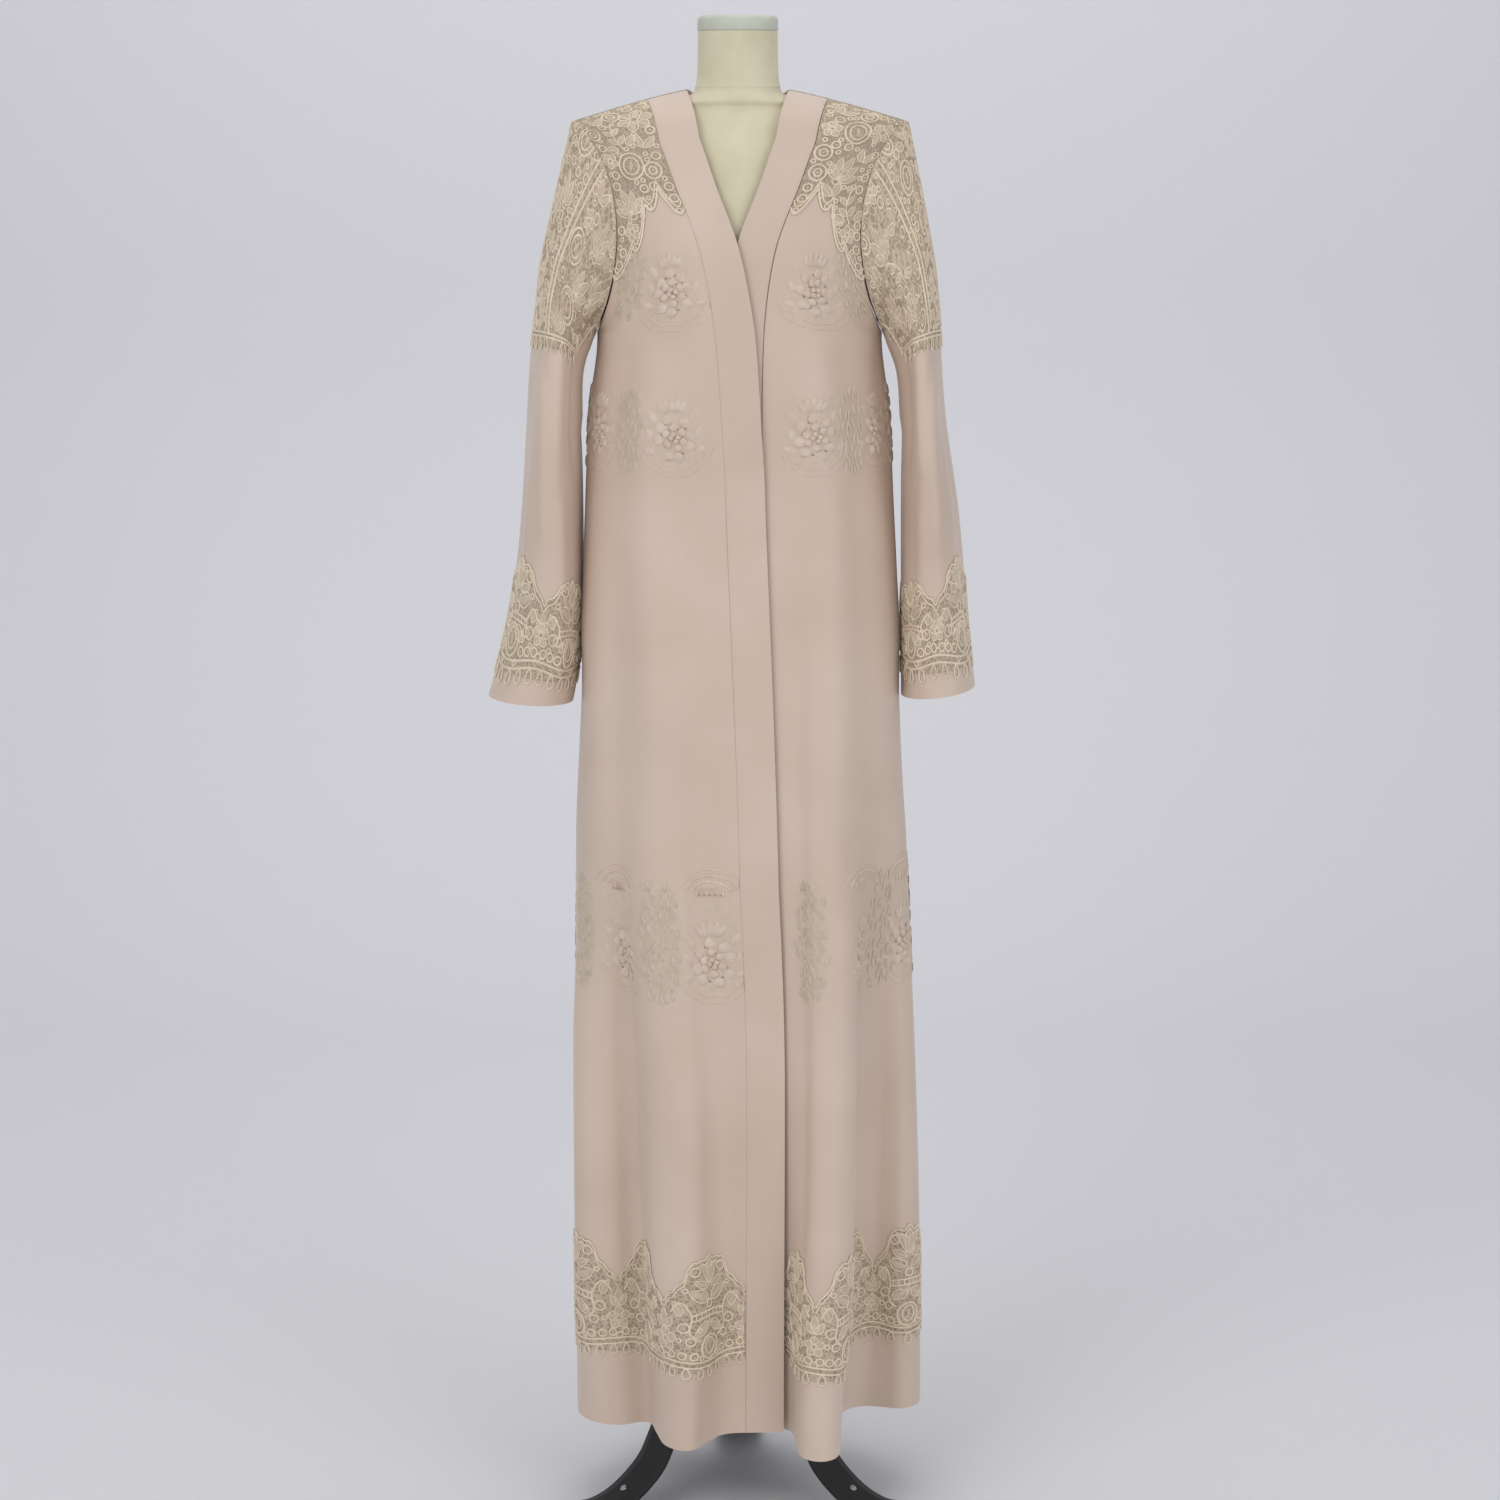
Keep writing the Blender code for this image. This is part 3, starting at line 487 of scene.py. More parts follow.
def hang(point: Vector, table: tuple, share: float, drop: float) -> Vector:
    """Pass a ring point into the folds of the hem below it."""
    part = (drop - FOLD_START) / (GARMENT_LENGTH - FOLD_START)
    fold = min(max(part, 0.0), 1.0) ** FOLD_POWER
    hem = hem_point(table, round(share, 6))
    x = point.x + (hem.x - point.x) * fold
    y = point.y + (hem.y - point.y) * fold
    return Vector((x, y, point.z - hem.dip * fold * fold))


def inset(share: float, width: float) -> float:
    """Hold a share just clear of both seams."""
    margin = TIGHT_GAP / width
    return margin + share * (1.0 - 2.0 * margin)


def crown(repeats: float) -> float:
    """1 at the top of a lace crown and 0 in the notch between two."""
    share = abs(2.0 * (repeats % 1.0) - 1.0)
    for start, end in zip(CROWN, CROWN[1:]):
        if share <= end.share:
            part = (share - start.share) / (end.share - start.share)
            return start.height + (end.height - start.height) * smooth(part)
    return CROWN[-1].height


def right_front_point(share: float, drop: float) -> Vector:
    """The wearer's right front, from its side seam to its band."""
    edge = Edge(*at_drop(EDGES, drop)).right_front - BAND_WIDTH
    start = -math.pi / 2.0 + armhole_turn(drop)
    share = inset(share, 0.20)
    angle = start + (angle_at(edge, drop) - start) * share
    return hang(ring_point(angle, drop), RIGHT_FRONT_HEM, share, drop)


def right_band_point(share: float, drop: float) -> Vector:
    """The band along the edge of the right front."""
    edge = Edge(*at_drop(EDGES, drop)).right_front
    share = inset(share, BAND_WIDTH)
    start = angle_at(edge - BAND_WIDTH, drop)
    angle = start + (angle_at(edge, drop) - start) * share
    return hang(ring_point(angle, drop), RIGHT_BAND_HEM, share, drop)


def tuck_behind(point: Vector, drop: float) -> Vector:
    """Move the left front back where the right front laps over it."""
    edge = Edge(*at_drop(EDGES, drop)).right_front
    depth = LAP_DEPTH * smooth((drop - 0.090) / 0.050)
    depth *= 1.0 - smooth((point.x - edge - 0.004) / 0.045)
    return Vector((point.x, point.y + depth, point.z))


def left_band_point(share: float, drop: float) -> Vector:
    """The band along the edge of the left front, under the right one."""
    edge = Edge(*at_drop(EDGES, drop)).left_front
    share = 0.985 * inset(share, BAND_WIDTH)
    start = angle_at(edge, drop)
    angle = start + (angle_at(edge + BAND_WIDTH, drop) - start) * share
    return hang(tuck_behind(ring_point(angle, drop), drop), LEFT_BAND_HEM, share, drop)


def left_front_point(share: float, drop: float) -> Vector:
    """The wearer's left front, from its band to its side seam."""
    edge = Edge(*at_drop(EDGES, drop)).left_front + BAND_WIDTH
    start = angle_at(edge, drop)
    share = inset(share, 0.20)
    angle = start + (math.pi / 2.0 - armhole_turn(drop) - start) * share
    return hang(tuck_behind(ring_point(angle, drop), drop), LEFT_FRONT_HEM, share, drop)


def back_point(share: float, drop: float) -> Vector:
    """The back, from the left side seam round to the right one."""
    turn = armhole_turn(drop)
    share = inset(share, 0.42)
    angle = math.pi / 2.0 + turn + (math.pi - 2.0 * turn) * share
    x = 0.176 * math.sin(math.pi / 2.0 + math.pi * share)
    scoop = BACK_NECK_SCOOP * max(1.0 - (x / NECK_HALF_WIDTH) ** 2, 0.0)
    lowered = drop + scoop * max(1.0 - drop / 0.090, 0.0)
    return hang(ring_point(angle, lowered), BACK_HEM, share, drop)


def sleeve_point(table: tuple, side: int, turn: float, share: float) -> Vector:
    """A point of a sleeve.

    Args:
        table: The sleeve's rings.
        side: -1 for the wearer's right, 1 for the left.
        turn: Radians from the outer line, by way of the front.
        share: Share of the sleeve's length, from the armhole.

    Returns:
        The point, before the part's shift to its origin.
    """
    ring = SleeveRing(*blend(table, share * (len(table) - 1)))
    outer = Vector((ring.outer_x, 0.0, ring.outer_z))
    inner = Vector((ring.inner_x, 0.0, ring.inner_z))
    point = (outer + inner) / 2.0 + (outer - inner) * 0.5 * math.cos(turn)
    point.y = -ring.half_depth * math.sin(turn)
    drop = UNDERARM_DROP * (1.0 - math.cos(turn)) / 2.0
    cut = ARMHOLE_CUT_IN * math.sin(turn)
    start = ring_point(side * (math.pi / 2.0 - cut), drop)
    under = (1.0 - math.cos(turn)) / 2.0
    start.x += side * (2.0 * SEAM_GAP + (0.8 + 1.5 * under) * CLOTH_WALL)
    return start.lerp(point, smooth(share / 0.22))


def edge_at(table: Sequence[Point2], share: float) -> float:
    """Read a lace edge table at a share of the panel's width."""
    for (start, low), (end, high) in zip(table, table[1:]):
        if share <= end:
            return low + (high - low) * smooth((share - start) / (end - start))
    return table[-1][1]


def scallop(repeats: float) -> float:
    """1 in the middle of each scallop and 0 in the notch between two."""
    return abs(math.sin(math.pi * repeats)) ** 0.7


def linear(colour: str) -> tuple[float, float, float, float]:
    """Turn an sRGB hex colour into Blender's linear values."""
    values = []
    for start in (0, 2, 4):
        part = int(colour[start:start + 2], 16) / 255.0
        values.append(part / 12.92 if part <= 0.04045 else ((part + 0.055) / 1.055) ** 2.4)
    return (values[0], values[1], values[2], 1.0)


def add_node(tree: bpy.types.NodeTree, kind: str, **values: object) -> bpy.types.Node:
    """Add a node and set its inputs by name.

    Args:
        tree: The material's node tree.
        kind: Blender's name of the node type.
        **values: Input values, with underscores for spaces.

    Returns:
        The node.
    """
    node = tree.nodes.new(kind)
    for name, value in values.items():
        node.inputs[name.replace("_", " ")].default_value = value
    return node


def shader_material(name: str, colour: str, roughness: float) -> bpy.types.Material:
    """Make a material whose Principled shader has a colour and a roughness."""
    made = bpy.data.materials.new(name)
    made.use_nodes = True
    shader = made.node_tree.nodes["Principled BSDF"]
    shader.inputs["Base Color"].default_value = linear(colour)
    shader.inputs["Roughness"].default_value = roughness
    return made


def vary_colour(tree: bpy.types.NodeTree, light: str, dark: str, size: float) -> None:
    """Mix two colours by a soft noise of about the given size in metres."""
    where = add_node(tree, "ShaderNodeTexCoord")
    noise = add_node(tree, "ShaderNodeTexNoise", Scale=1.0 / size, Detail=3.0)
    ramp = add_node(tree, "ShaderNodeValToRGB")
    ramp.color_ramp.elements[0].position = 0.35
    ramp.color_ramp.elements[0].color = linear(dark)
    ramp.color_ramp.elements[1].position = 0.65
    ramp.color_ramp.elements[1].color = linear(light)
    shader = tree.nodes["Principled BSDF"]
    tree.links.new(where.outputs["Object"], noise.inputs["Vector"])
    tree.links.new(noise.outputs["Fac"], ramp.inputs["Fac"])
    tree.links.new(ramp.outputs["Color"], shader.inputs["Base Color"])


def add_bump(tree: bpy.types.NodeTree, source: bpy.types.NodeSocket,
             strength: float, depth: float) -> None:
    """Bump the shader by a node's value, on top of any bump it has."""
    shader = tree.nodes["Principled BSDF"]
    bump = add_node(tree, "ShaderNodeBump", Strength=strength, Distance=depth)
    before = shader.inputs["Normal"].links
    if before:
        tree.links.new(before[0].from_socket, bump.inputs["Normal"])
    tree.links.new(source, bump.inputs["Height"])
    tree.links.new(bump.outputs["Normal"], shader.inputs["Normal"])


# Finishes


@dataclass(frozen=True)
class SatinCrepe:
    """Matt-backed satin crepe, woven: a soft sheen over a fine pebbled grain."""

    light: str = "D6C2B2"
    dark: str = "CEB9A8"
    net: str = "C3B6A0"
    roughness: float = 0.46
    grain: float = 0.0011

    def make(self) -> bpy.types.Material:
        """Make the material, its grain in the panel's own flat lengths."""
        made = shader_material("satin_crepe", self.light, self.roughness)
        tree = made.node_tree
        vary_colour(tree, self.light, self.dark, 0.16)
        shader = tree.nodes["Principled BSDF"]
        shader.inputs["Sheen Weight"].default_value = 0.22
        shader.inputs["Sheen Roughness"].default_value = 0.45
        self.tint_ground(tree)
        where = add_node(tree, "ShaderNodeTexCoord")
        pebble = add_node(tree, "ShaderNodeTexNoise", Scale=1.0 / self.grain, Detail=2.0)
        tree.links.new(where.outputs["UV"], pebble.inputs["Vector"])
        add_bump(tree, pebble.outputs["Fac"], 0.30, 0.0003)
        pull = add_node(tree, "ShaderNodeTexNoise", Scale=1.0 / 0.05, Detail=2.0)
        tree.links.new(where.outputs["UV"], pull.inputs["Vector"])
        add_bump(tree, pull.outputs["Fac"], 0.18, 0.0012)
        return made

    def tint_ground(self, tree: bpy.types.NodeTree) -> None:
        """Show a grey-green net where the panel's tint attribute asks for it."""
        shader = tree.nodes["Principled BSDF"]
        cloth = shader.inputs["Base Color"].links[0].from_socket
        tint = add_node(tree, "ShaderNodeAttribute")
        tint.attribute_name = "tint"
        where = add_node(tree, "ShaderNodeTexCoord")
        frayed = add_node(tree, "ShaderNodeTexNoise", Scale=1.0 / 0.009, Detail=4.0)
        tree.links.new(where.outputs["UV"], frayed.inputs["Vector"])
        summed = add_node(tree, "ShaderNodeMath")
        summed.operation = "ADD"
        tree.links.new(tint.outputs["Fac"], summed.inputs[0])
        tree.links.new(frayed.outputs["Fac"], summed.inputs[1])
        ramp = add_node(tree, "ShaderNodeMapRange", From_Min=0.75, From_Max=1.15, To_Max=0.85)
        tree.links.new(summed.outputs["Value"], ramp.inputs["Value"])
        mixed = tree.nodes.new("ShaderNodeMix")
        mixed.data_type = "RGBA"
        mixed.inputs[7].default_value = linear(self.net)
        tree.links.new(ramp.outputs["Result"], mixed.inputs[0])
        tree.links.new(cloth, mixed.inputs[6])
        tree.links.new(mixed.outputs[2], shader.inputs["Base Color"])


@dataclass(frozen=True)
class LaceNet:
    """Cotton ground of the lace: fine threads over open gaps, coloured darker as painted shade of
    the cloth seen through them.
    """

    thread: str = "C5B49E"
    # painted shade: the gap colour stands for the cloth in shade behind the net
    shaded_gap: str = "A3917C"
    cell: float = 0.0050

    def make(self) -> bpy.types.Material:
        """Make the material; the cells are drawn coarser than real ones to show."""
        made = shader_material("lace_net", self.thread, 0.80)
        tree = made.node_tree
        where = add_node(tree, "ShaderNodeTexCoord")
        cells = add_node(tree, "ShaderNodeTexVoronoi", Scale=1.0 / self.cell, Randomness=0.8)
        cells.feature = "DISTANCE_TO_EDGE"
        tree.links.new(where.outputs["UV"], cells.inputs["Vector"])
        ramp = add_node(tree, "ShaderNodeValToRGB")
        ramp.color_ramp.elements[0].position = 0.06
        ramp.color_ramp.elements[0].color = linear(self.thread)
        # the gaps take the painted shade colour
        ramp.color_ramp.elements[1].position = 0.18
        ramp.color_ramp.elements[1].color = linear(self.shaded_gap)
        tree.links.new(cells.outputs["Distance"], ramp.inputs["Fac"])
        shader = tree.nodes["Principled BSDF"]
        tree.links.new(ramp.outputs["Color"], shader.inputs["Base Color"])
        level = add_node(tree, "ShaderNodeMapRange", From_Max=0.2, To_Min=1.0, To_Max=0.0)
        tree.links.new(cells.outputs["Distance"], level.inputs["Value"])
        add_bump(tree, level.outputs["Result"], 0.7, 0.0006)
        return made


@dataclass(frozen=True)
class StitchedThread:
    """Rayon embroidery thread, laid close: matt, with fine ridges across."""

    name: str
    light: str
    dark: str
    roughness: float = 0.62
    ridge: float = 0.0009

    def make(self) -> bpy.types.Material:
        """Make the material."""
        made = shader_material(self.name, self.light, self.roughness)
        tree = made.node_tree
        vary_colour(tree, self.light, self.dark, 0.012)
        where = add_node(tree, "ShaderNodeTexCoord")
        threads = add_node(tree, "ShaderNodeTexNoise", Scale=1.0 / self.ridge, Detail=1.0)
        tree.links.new(where.outputs["Object"], threads.inputs["Vector"])
        add_bump(tree, threads.outputs["Fac"], 0.45, 0.0004)
        tree.nodes["Principled BSDF"].inputs["Sheen Weight"].default_value = 0.15
        return made


@dataclass(frozen=True)
class Jersey:
    """Cotton jersey stretched over the form: matt, with fine knitted ribs."""

    light: str = "DBD4B9"
    dark: str = "D0C8AB"
    rib: float = 0.0016

    def make(self) -> bpy.types.Material:
        """Make the material; the ribs are drawn coarser than real ones to show."""
        made = shader_material("cotton_jersey", self.light, 0.86)
        tree = made.node_tree
        vary_colour(tree, self.light, self.dark, 0.05)
        where = add_node(tree, "ShaderNodeTexCoord")
        ribs = add_node(tree, "ShaderNodeTexWave", Scale=0.314 / self.rib, Distortion=1.5)
        tree.links.new(where.outputs["Object"], ribs.inputs["Vector"])
        add_bump(tree, ribs.outputs["Fac"], 0.25, 0.0003)
        knit = add_node(tree, "ShaderNodeTexNoise", Scale=1.0 / 0.0012, Detail=1.0)
        tree.links.new(where.outputs["Object"], knit.inputs["Vector"])
        add_bump(tree, knit.outputs["Fac"], 0.30, 0.0002)
        tree.nodes["Principled BSDF"].inputs["Sheen Weight"].default_value = 0.2
        return made


@dataclass(frozen=True)
class HardFinish:
    """A moulded, painted or plated finish with a fine grain and slight wear."""

    name: str
    light: str
    dark: str
    roughness: float
    metallic: float = 0.0
    grain: float = 0.0015
    relief: float = 0.00008

    def make(self) -> bpy.types.Material:
        """Make the material."""
        made = shader_material(self.name, self.light, self.roughness)
        tree = made.node_tree
        vary_colour(tree, self.light, self.dark, 0.03)
        shader = tree.nodes["Principled BSDF"]
        shader.inputs["Metallic"].default_value = self.metallic
        where = add_node(tree, "ShaderNodeTexCoord")
        grain = add_node(tree, "ShaderNodeTexNoise", Scale=1.0 / self.grain, Detail=3.0)
        tree.links.new(where.outputs["Object"], grain.inputs["Vector"])
        add_bump(tree, grain.outputs["Fac"], 0.35, self.relief)
        return made


# Panels


@dataclass
class Panel:
    """A panel of cloth as a fine grid of its inner face."""

    name: str
    levels: np.ndarray
    points: np.ndarray
    is_tube: bool = False
    is_turned: bool = False
    normals: np.ndarray = field(init=False)
    down: np.ndarray = field(init=False)
    widths: np.ndarray = field(init=False)

    def __post_init__(self) -> None:
        """Measure the grid."""
        self.refresh()

    @property
    def span(self) -> int:
        """The number of cells in a row."""
        return self.points.shape[1] - (0 if self.is_tube else 1)

    def refresh(self) -> None:
        """Find the normals and the lengths along and down the grid."""
        grid = self.points
        if self.is_tube:
            ahead, behind = np.roll(grid, -1, axis=1), np.roll(grid, 1, axis=1)
        else:
            ahead = np.concatenate((grid[:, 1:], grid[:, -1:]), axis=1)
            behind = np.concatenate((grid[:, :1], grid[:, :-1]), axis=1)
        below = np.concatenate((grid[1:], grid[-1:]))
        above = np.concatenate((grid[:1], grid[:-1]))
        normals = np.cross(below - above, ahead - behind)
        normals /= np.maximum(np.linalg.norm(normals, axis=2, keepdims=True), 1e-12)
        self.normals = -normals if self.is_turned else normals
        steps = np.linalg.norm(np.diff(grid, axis=0), axis=2)
        self.down = np.concatenate((np.zeros((1, grid.shape[1])), np.cumsum(steps, axis=0)))
        across = np.linalg.norm(ahead - grid, axis=2)
        self.widths = across.sum(axis=1)

    def displace(self, heights: np.ndarray) -> None:
        """Move the grid along its normals by a grid of heights in metres."""
        self.points = self.points + self.normals * heights[..., None]
        self.refresh()

    def at(self, share: np.ndarray, level: np.ndarray, lift: float
           ) -> tuple[np.ndarray, np.ndarray]:
        """Places and normals over the inner face.

        Args:
            share: Shares across the panel, or of the turn round a tube.
            level: Levels down the panel.
            lift: Height over the inner face in metres.

        Returns:
            The points and the unit normals there.
        """
        rows = np.interp(level, self.levels, np.arange(len(self.levels)))
        places = np.asarray(share) * self.span
        places = np.mod(places, self.span) if self.is_tube else np.clip(places, 0, self.span)
        top = np.minimum(rows.astype(int), len(self.levels) - 2)
        near = np.minimum(places.astype(int), self.span - 1)
        far = (near + 1) % self.points.shape[1]
        low, side = (rows - top)[..., None], (places - near)[..., None]
        mixed = []
        for grid in (self.points, self.normals):
            upper = grid[top, near] * (1 - side) + grid[top, far] * side
            lower = grid[top + 1, near] * (1 - side) + grid[top + 1, far] * side
            mixed.append(upper * (1 - low) + lower * low)
        points, normals = mixed
        unit = normals / np.maximum(np.linalg.norm(normals, axis=-1, keepdims=True), 1e-12)
        return points + normals * lift, unit

    def area(self) -> float:
        """The area of one face of the grid, in square metres."""
        grid = self.points
        if self.is_tube:
            grid = np.concatenate((grid, grid[:, :1]), axis=1)
        first = grid[1:, 1:] - grid[:-1, :-1]
        second = grid[1:, :-1] - grid[:-1, 1:]
        return float(np.linalg.norm(np.cross(first, second), axis=2).sum() / 2.0)


def body_levels(rows: int) -> np.ndarray:
    """Drops of the rows of a body panel, closer at the shoulder."""
    return GARMENT_LENGTH * (np.arange(rows + 1) / rows) ** ROW_POWER


def body_panel(name: str, point_at: Callable[[float, float], Vector], columns: int,
               rows: int = 164) -> Panel:
    """Lay out one panel of the body.

    Args:
        name: The CAD node's name.
        point_at: The panel's surface, by share and drop.
        columns: Cells across it.
        rows: Cells down it.

    Returns:
        The panel.
    """
    levels = body_levels(rows)
    grid = [[tuple(point_at(column / columns, float(drop))) for column in range(columns + 1)]
            for drop in levels]
    return Panel(name, levels, np.array(grid) + ORIGIN_SHIFT)


def sleeve_panel(name: str, table: tuple, side: int, columns: int = 64,
                 rows: int = 120) -> Panel:
    """Lay out a sleeve as a tube of rings."""
    levels = np.arange(rows + 1) / rows
    turns = [2.0 * math.pi * column / columns for column in range(columns)]
    grid = [[tuple(sleeve_point(table, side, turn, float(level))) for turn in turns]
            for level in levels]
    return Panel(name, levels, np.array(grid) + ORIGIN_SHIFT, True, side > 0)


def ease(values: np.ndarray) -> np.ndarray:
    """Ease 0 to 1 with level ends."""
    values = np.clip(values, 0.0, 1.0)
    return values * values * (3.0 - 2.0 * values)


def body_folds(panel: Panel, creases: Sequence[Crease], ripple: float) -> np.ndarray:
    """Heights of the folds of a body panel.

    Args:
        panel: The panel.
        creases: Its folds, as listed.
        ripple: A phase for the slight waviness between them.

    Returns:
        A grid of heights in metres, level at the seams and the shoulder.
    """
    shares = np.linspace(0.0, 1.0, panel.points.shape[1])[None, :]
    drops = panel.levels[:, None]
    widths = panel.widths[:, None]
    total = np.zeros(panel.points.shape[:2])
    for crease in creases:
        part = (drops - crease.top) / (crease.bottom - crease.top)
        reach = ease(part / 0.25) * ease((1.0 - part) / 0.25)
        middle = crease.share + crease.slant * (2.0 * part - 1.0)
        distance = (shares - middle) * widths / crease.width
        total += crease.height * reach * np.exp(-distance * distance)
    wave = np.sin(19.0 * shares + ripple + 1.7 * np.sin(3.1 * drops + ripple))
    total += 0.0011 * wave * ease((drops - 0.12) / 0.2)
    sides = ease(shares / 0.05) * ease((1.0 - shares) / 0.05)
    return total * sides * ease((drops - 0.03) / 0.08)


def sleeve_folds(panel: Panel, creases: Sequence[SleeveCrease], ripple: float) -> np.ndarray:
    """Heights of the folds of a sleeve, level at the armhole and the cuff."""
    turns = 360.0 * np.arange(panel.points.shape[1])[None, :] / panel.points.shape[1]
    levels = panel.levels[:, None]
    total = np.zeros(panel.points.shape[:2])
    for crease in creases:
        part = (levels - crease.top) / (crease.bottom - crease.top)
        reach = ease(part / 0.2) * ease((1.0 - part) / 0.2)
        middle = crease.turn + crease.twist * part
        distance = np.mod(turns - middle + 180.0, 360.0) - 180.0
        total += crease.height * reach * np.exp(-(distance / crease.width) ** 2)
    wave = np.sin(np.radians(5.0 * turns) + ripple + 2.0 * np.sin(6.0 * levels + ripple))
    total += 0.0006 * wave * ease((levels - 0.1) / 0.2)
    return total * ease((levels - 0.015) / 0.06) * ease((1.0 - levels) / 0.03)


# Meshes


def mesh_object(name: str, places: np.ndarray, faces: Sequence[Sequence[int]],
                finish: bpy.types.Material, flat: np.ndarray | None = None
                ) -> bpy.types.Object:
    """Make an object from points and faces.

    Args:
        name: The piece's name.
        places: Its points.
        faces: Its faces, turned outwards.
        finish: Its material.
        flat: Places of the points on the flat cloth, in metres.

    Returns:
        The object, smooth shaded but for its rims, at the origin.
    """
    mesh = bpy.data.meshes.new(name)
    mesh.from_pydata(places.tolist(), [], faces)
    mesh.materials.append(finish)
    if flat is not None:
        layer = mesh.uv_layers.new(name="flat")
        index = np.empty(len(mesh.loops), dtype=np.int32)
        mesh.loops.foreach_get("vertex_index", index)
        layer.data.foreach_set("uv", flat[index].ravel())
    mesh.shade_smooth()
    mesh.set_sharp_from_angle(angle=math.radians(60.0))
    thing = bpy.data.objects.new(name, mesh)
    bpy.context.scene.collection.objects.link(thing)
    return thing


def wall_of_panel(panel: Panel, name: str, finish: bpy.types.Material,
                  tint: np.ndarray | None = None) -> bpy.types.Object:
    """Raise a whole panel into a wall of the cloth's thickness.

    Args:
        panel: The panel.
        name: The piece's name.
        finish: Its material.
        tint: How much of the tinted ground shows at each point, 0 to 1.

    Returns:
        The piece.
    """
    rows, columns = panel.points.shape[:2]
    outer = panel.points + panel.normals * CLOTH_WALL
    places = np.concatenate((outer.reshape(-1, 3), panel.points.reshape(-1, 3)))
    count = rows * columns
    quads = []
    for row in range(rows - 1):
        for column in range(panel.span):
            a, b = row * columns + column, row * columns + (column + 1) % columns
            c, d = b + columns, a + columns
            quads.append((a, d, c, b))
            quads.append((a + count, b + count, c + count, d + count))
    for column in range(panel.span):
        a, b = column, (column + 1) % columns
        quads.append((a, b, b + count, a + count))
        a, b = a + (rows - 1) * columns, b + (rows - 1) * columns
        quads.append((b, a, a + count, b + count))
    if not panel.is_tube:
        for row in range(rows - 1):
            a, b = row * columns, (row + 1) * columns
            quads.append((b, a, a + count, b + count))
            a, b = a + columns - 1, b + columns - 1
            quads.append((a, b, b + count, a + count))
    if panel.is_turned:
        quads = [quad[::-1] for quad in quads]
    shares = np.linspace(0.0, 1.0, columns)[None, :] * panel.widths.max()
    across = np.broadcast_to(shares, (rows, columns))
    flat = np.stack((across, -panel.down), axis=2).reshape(-1, 2)
    piece = mesh_object(name, places, quads, finish, np.concatenate((flat, flat)))
    layer = piece.data.attributes.new("tint", "FLOAT", "POINT")
    shown = np.zeros(count) if tint is None else tint.ravel()
    layer.data.foreach_set("value", np.concatenate((shown, shown)).astype(np.float32))
    return piece


@dataclass
class NetPatch:
    """A thin ground for lace, over whole and cut cells of a panel's grid."""

    panel: Panel
    top_at: Callable[[float], float]
    bottom_at: Callable[[float], float]
    first: float
    last: float
    low: float = 0.0017
    high: float = 0.0023

    def row_of(self, level: float) -> float:
        """The row of the panel's grid, with its fraction, at a level."""
        rows = np.arange(len(self.panel.levels))
        return float(np.interp(level, self.panel.levels, rows))

    def build(self, name: str, finish: bpy.types.Material) -> tuple[bpy.types.Object, float]:
        """Make the patch.

        Args:
            name: The piece's name.
            finish: Its material.

        Returns:
            The object and the area of one face of it.
        """
        span = self.panel.span
        start, end = self.first * span, self.last * span
        whole = range(math.floor(start) + 1, math.ceil(end))
        columns = [start, *[float(column) for column in whole], end]
        tops = [self.row_of(self.top_at(column / span)) for column in columns]
        ends = [self.row_of(self.bottom_at(column / span)) for column in columns]
        known: dict[tuple[float, int], int] = {}
        spots: list[tuple[float, float]] = []
        faces = []
        for row in range(int(min(tops)), int(max(ends)) + 1):
            for index in range(len(columns) - 1):
                ring = []
                for line, side in ((row, index), (row + 1, index), (row + 1, index + 1),
                                   (row, index + 1)):
                    spot = round(min(max(float(line), tops[side]), ends[side]), 5)
                    if (spot, side) not in known:
                        known[(spot, side)] = len(spots)
                        spots.append((spot, columns[side]))
                    number = known[(spot, side)]
                    if number not in ring:
                        ring.append(number)
                if len(ring) > 2:
                    faces.append(tuple(ring))
        return self.wall(name, np.array(spots), faces, finish)

    def wall(self, name: str, spots: np.ndarray, faces: list[tuple[int, ...]],
             finish: bpy.types.Material) -> tuple[bpy.types.Object, float]:
        """Give faces laid on the panel a thickness and a rim."""
        levels = np.interp(spots[:, 0], np.arange(len(self.panel.levels)), self.panel.levels)
        shares = spots[:, 1] / self.panel.span
        low, _ = self.panel.at(shares, levels, self.low)
        high, _ = self.panel.at(shares, levels, self.high)
        count = len(spots)
        edges = {(ring[i], ring[(i + 1) % len(ring)]) for ring in faces for i in range(len(ring))}
        rim = [(b, a, a + count, b + count) for a, b in sorted(edges) if (b, a) not in edges]
        back = [tuple(number + count for number in reversed(ring)) for ring in faces]
        everything = [*faces, *back, *rim]
        if self.panel.is_turned:
            everything = [ring[::-1] for ring in everything]
        width = self.panel.widths.max()
        lengths = np.interp(levels, self.panel.levels, self.panel.down.mean(axis=1))
        flat = np.stack((shares * width, -lengths), axis=1)
        piece = mesh_object(name, np.concatenate((high, low)), everything, finish,
                            np.concatenate((flat, flat)))
        area = 0.0
        for polygon in piece.data.polygons[:len(faces)]:
            area += polygon.area
        return piece, area


@dataclass
class Stroke:
    """A cord or a filled petal: a path in millimetres and its half widths."""

    path: np.ndarray
    half_widths: np.ndarray
    height: float
    is_ring: bool = False
    sides: int = 5


class Kind(Enum):
    """What a stroke is worked in."""

    CORD = "cord"
    FILL = "fill"
    TINT = "tint"
    # SHADE strokes are painted shade: dark dots and lines put where shade falls in holes and along
    # seams
    SHADE = "shade"


Work = list[tuple[Kind, Stroke]]


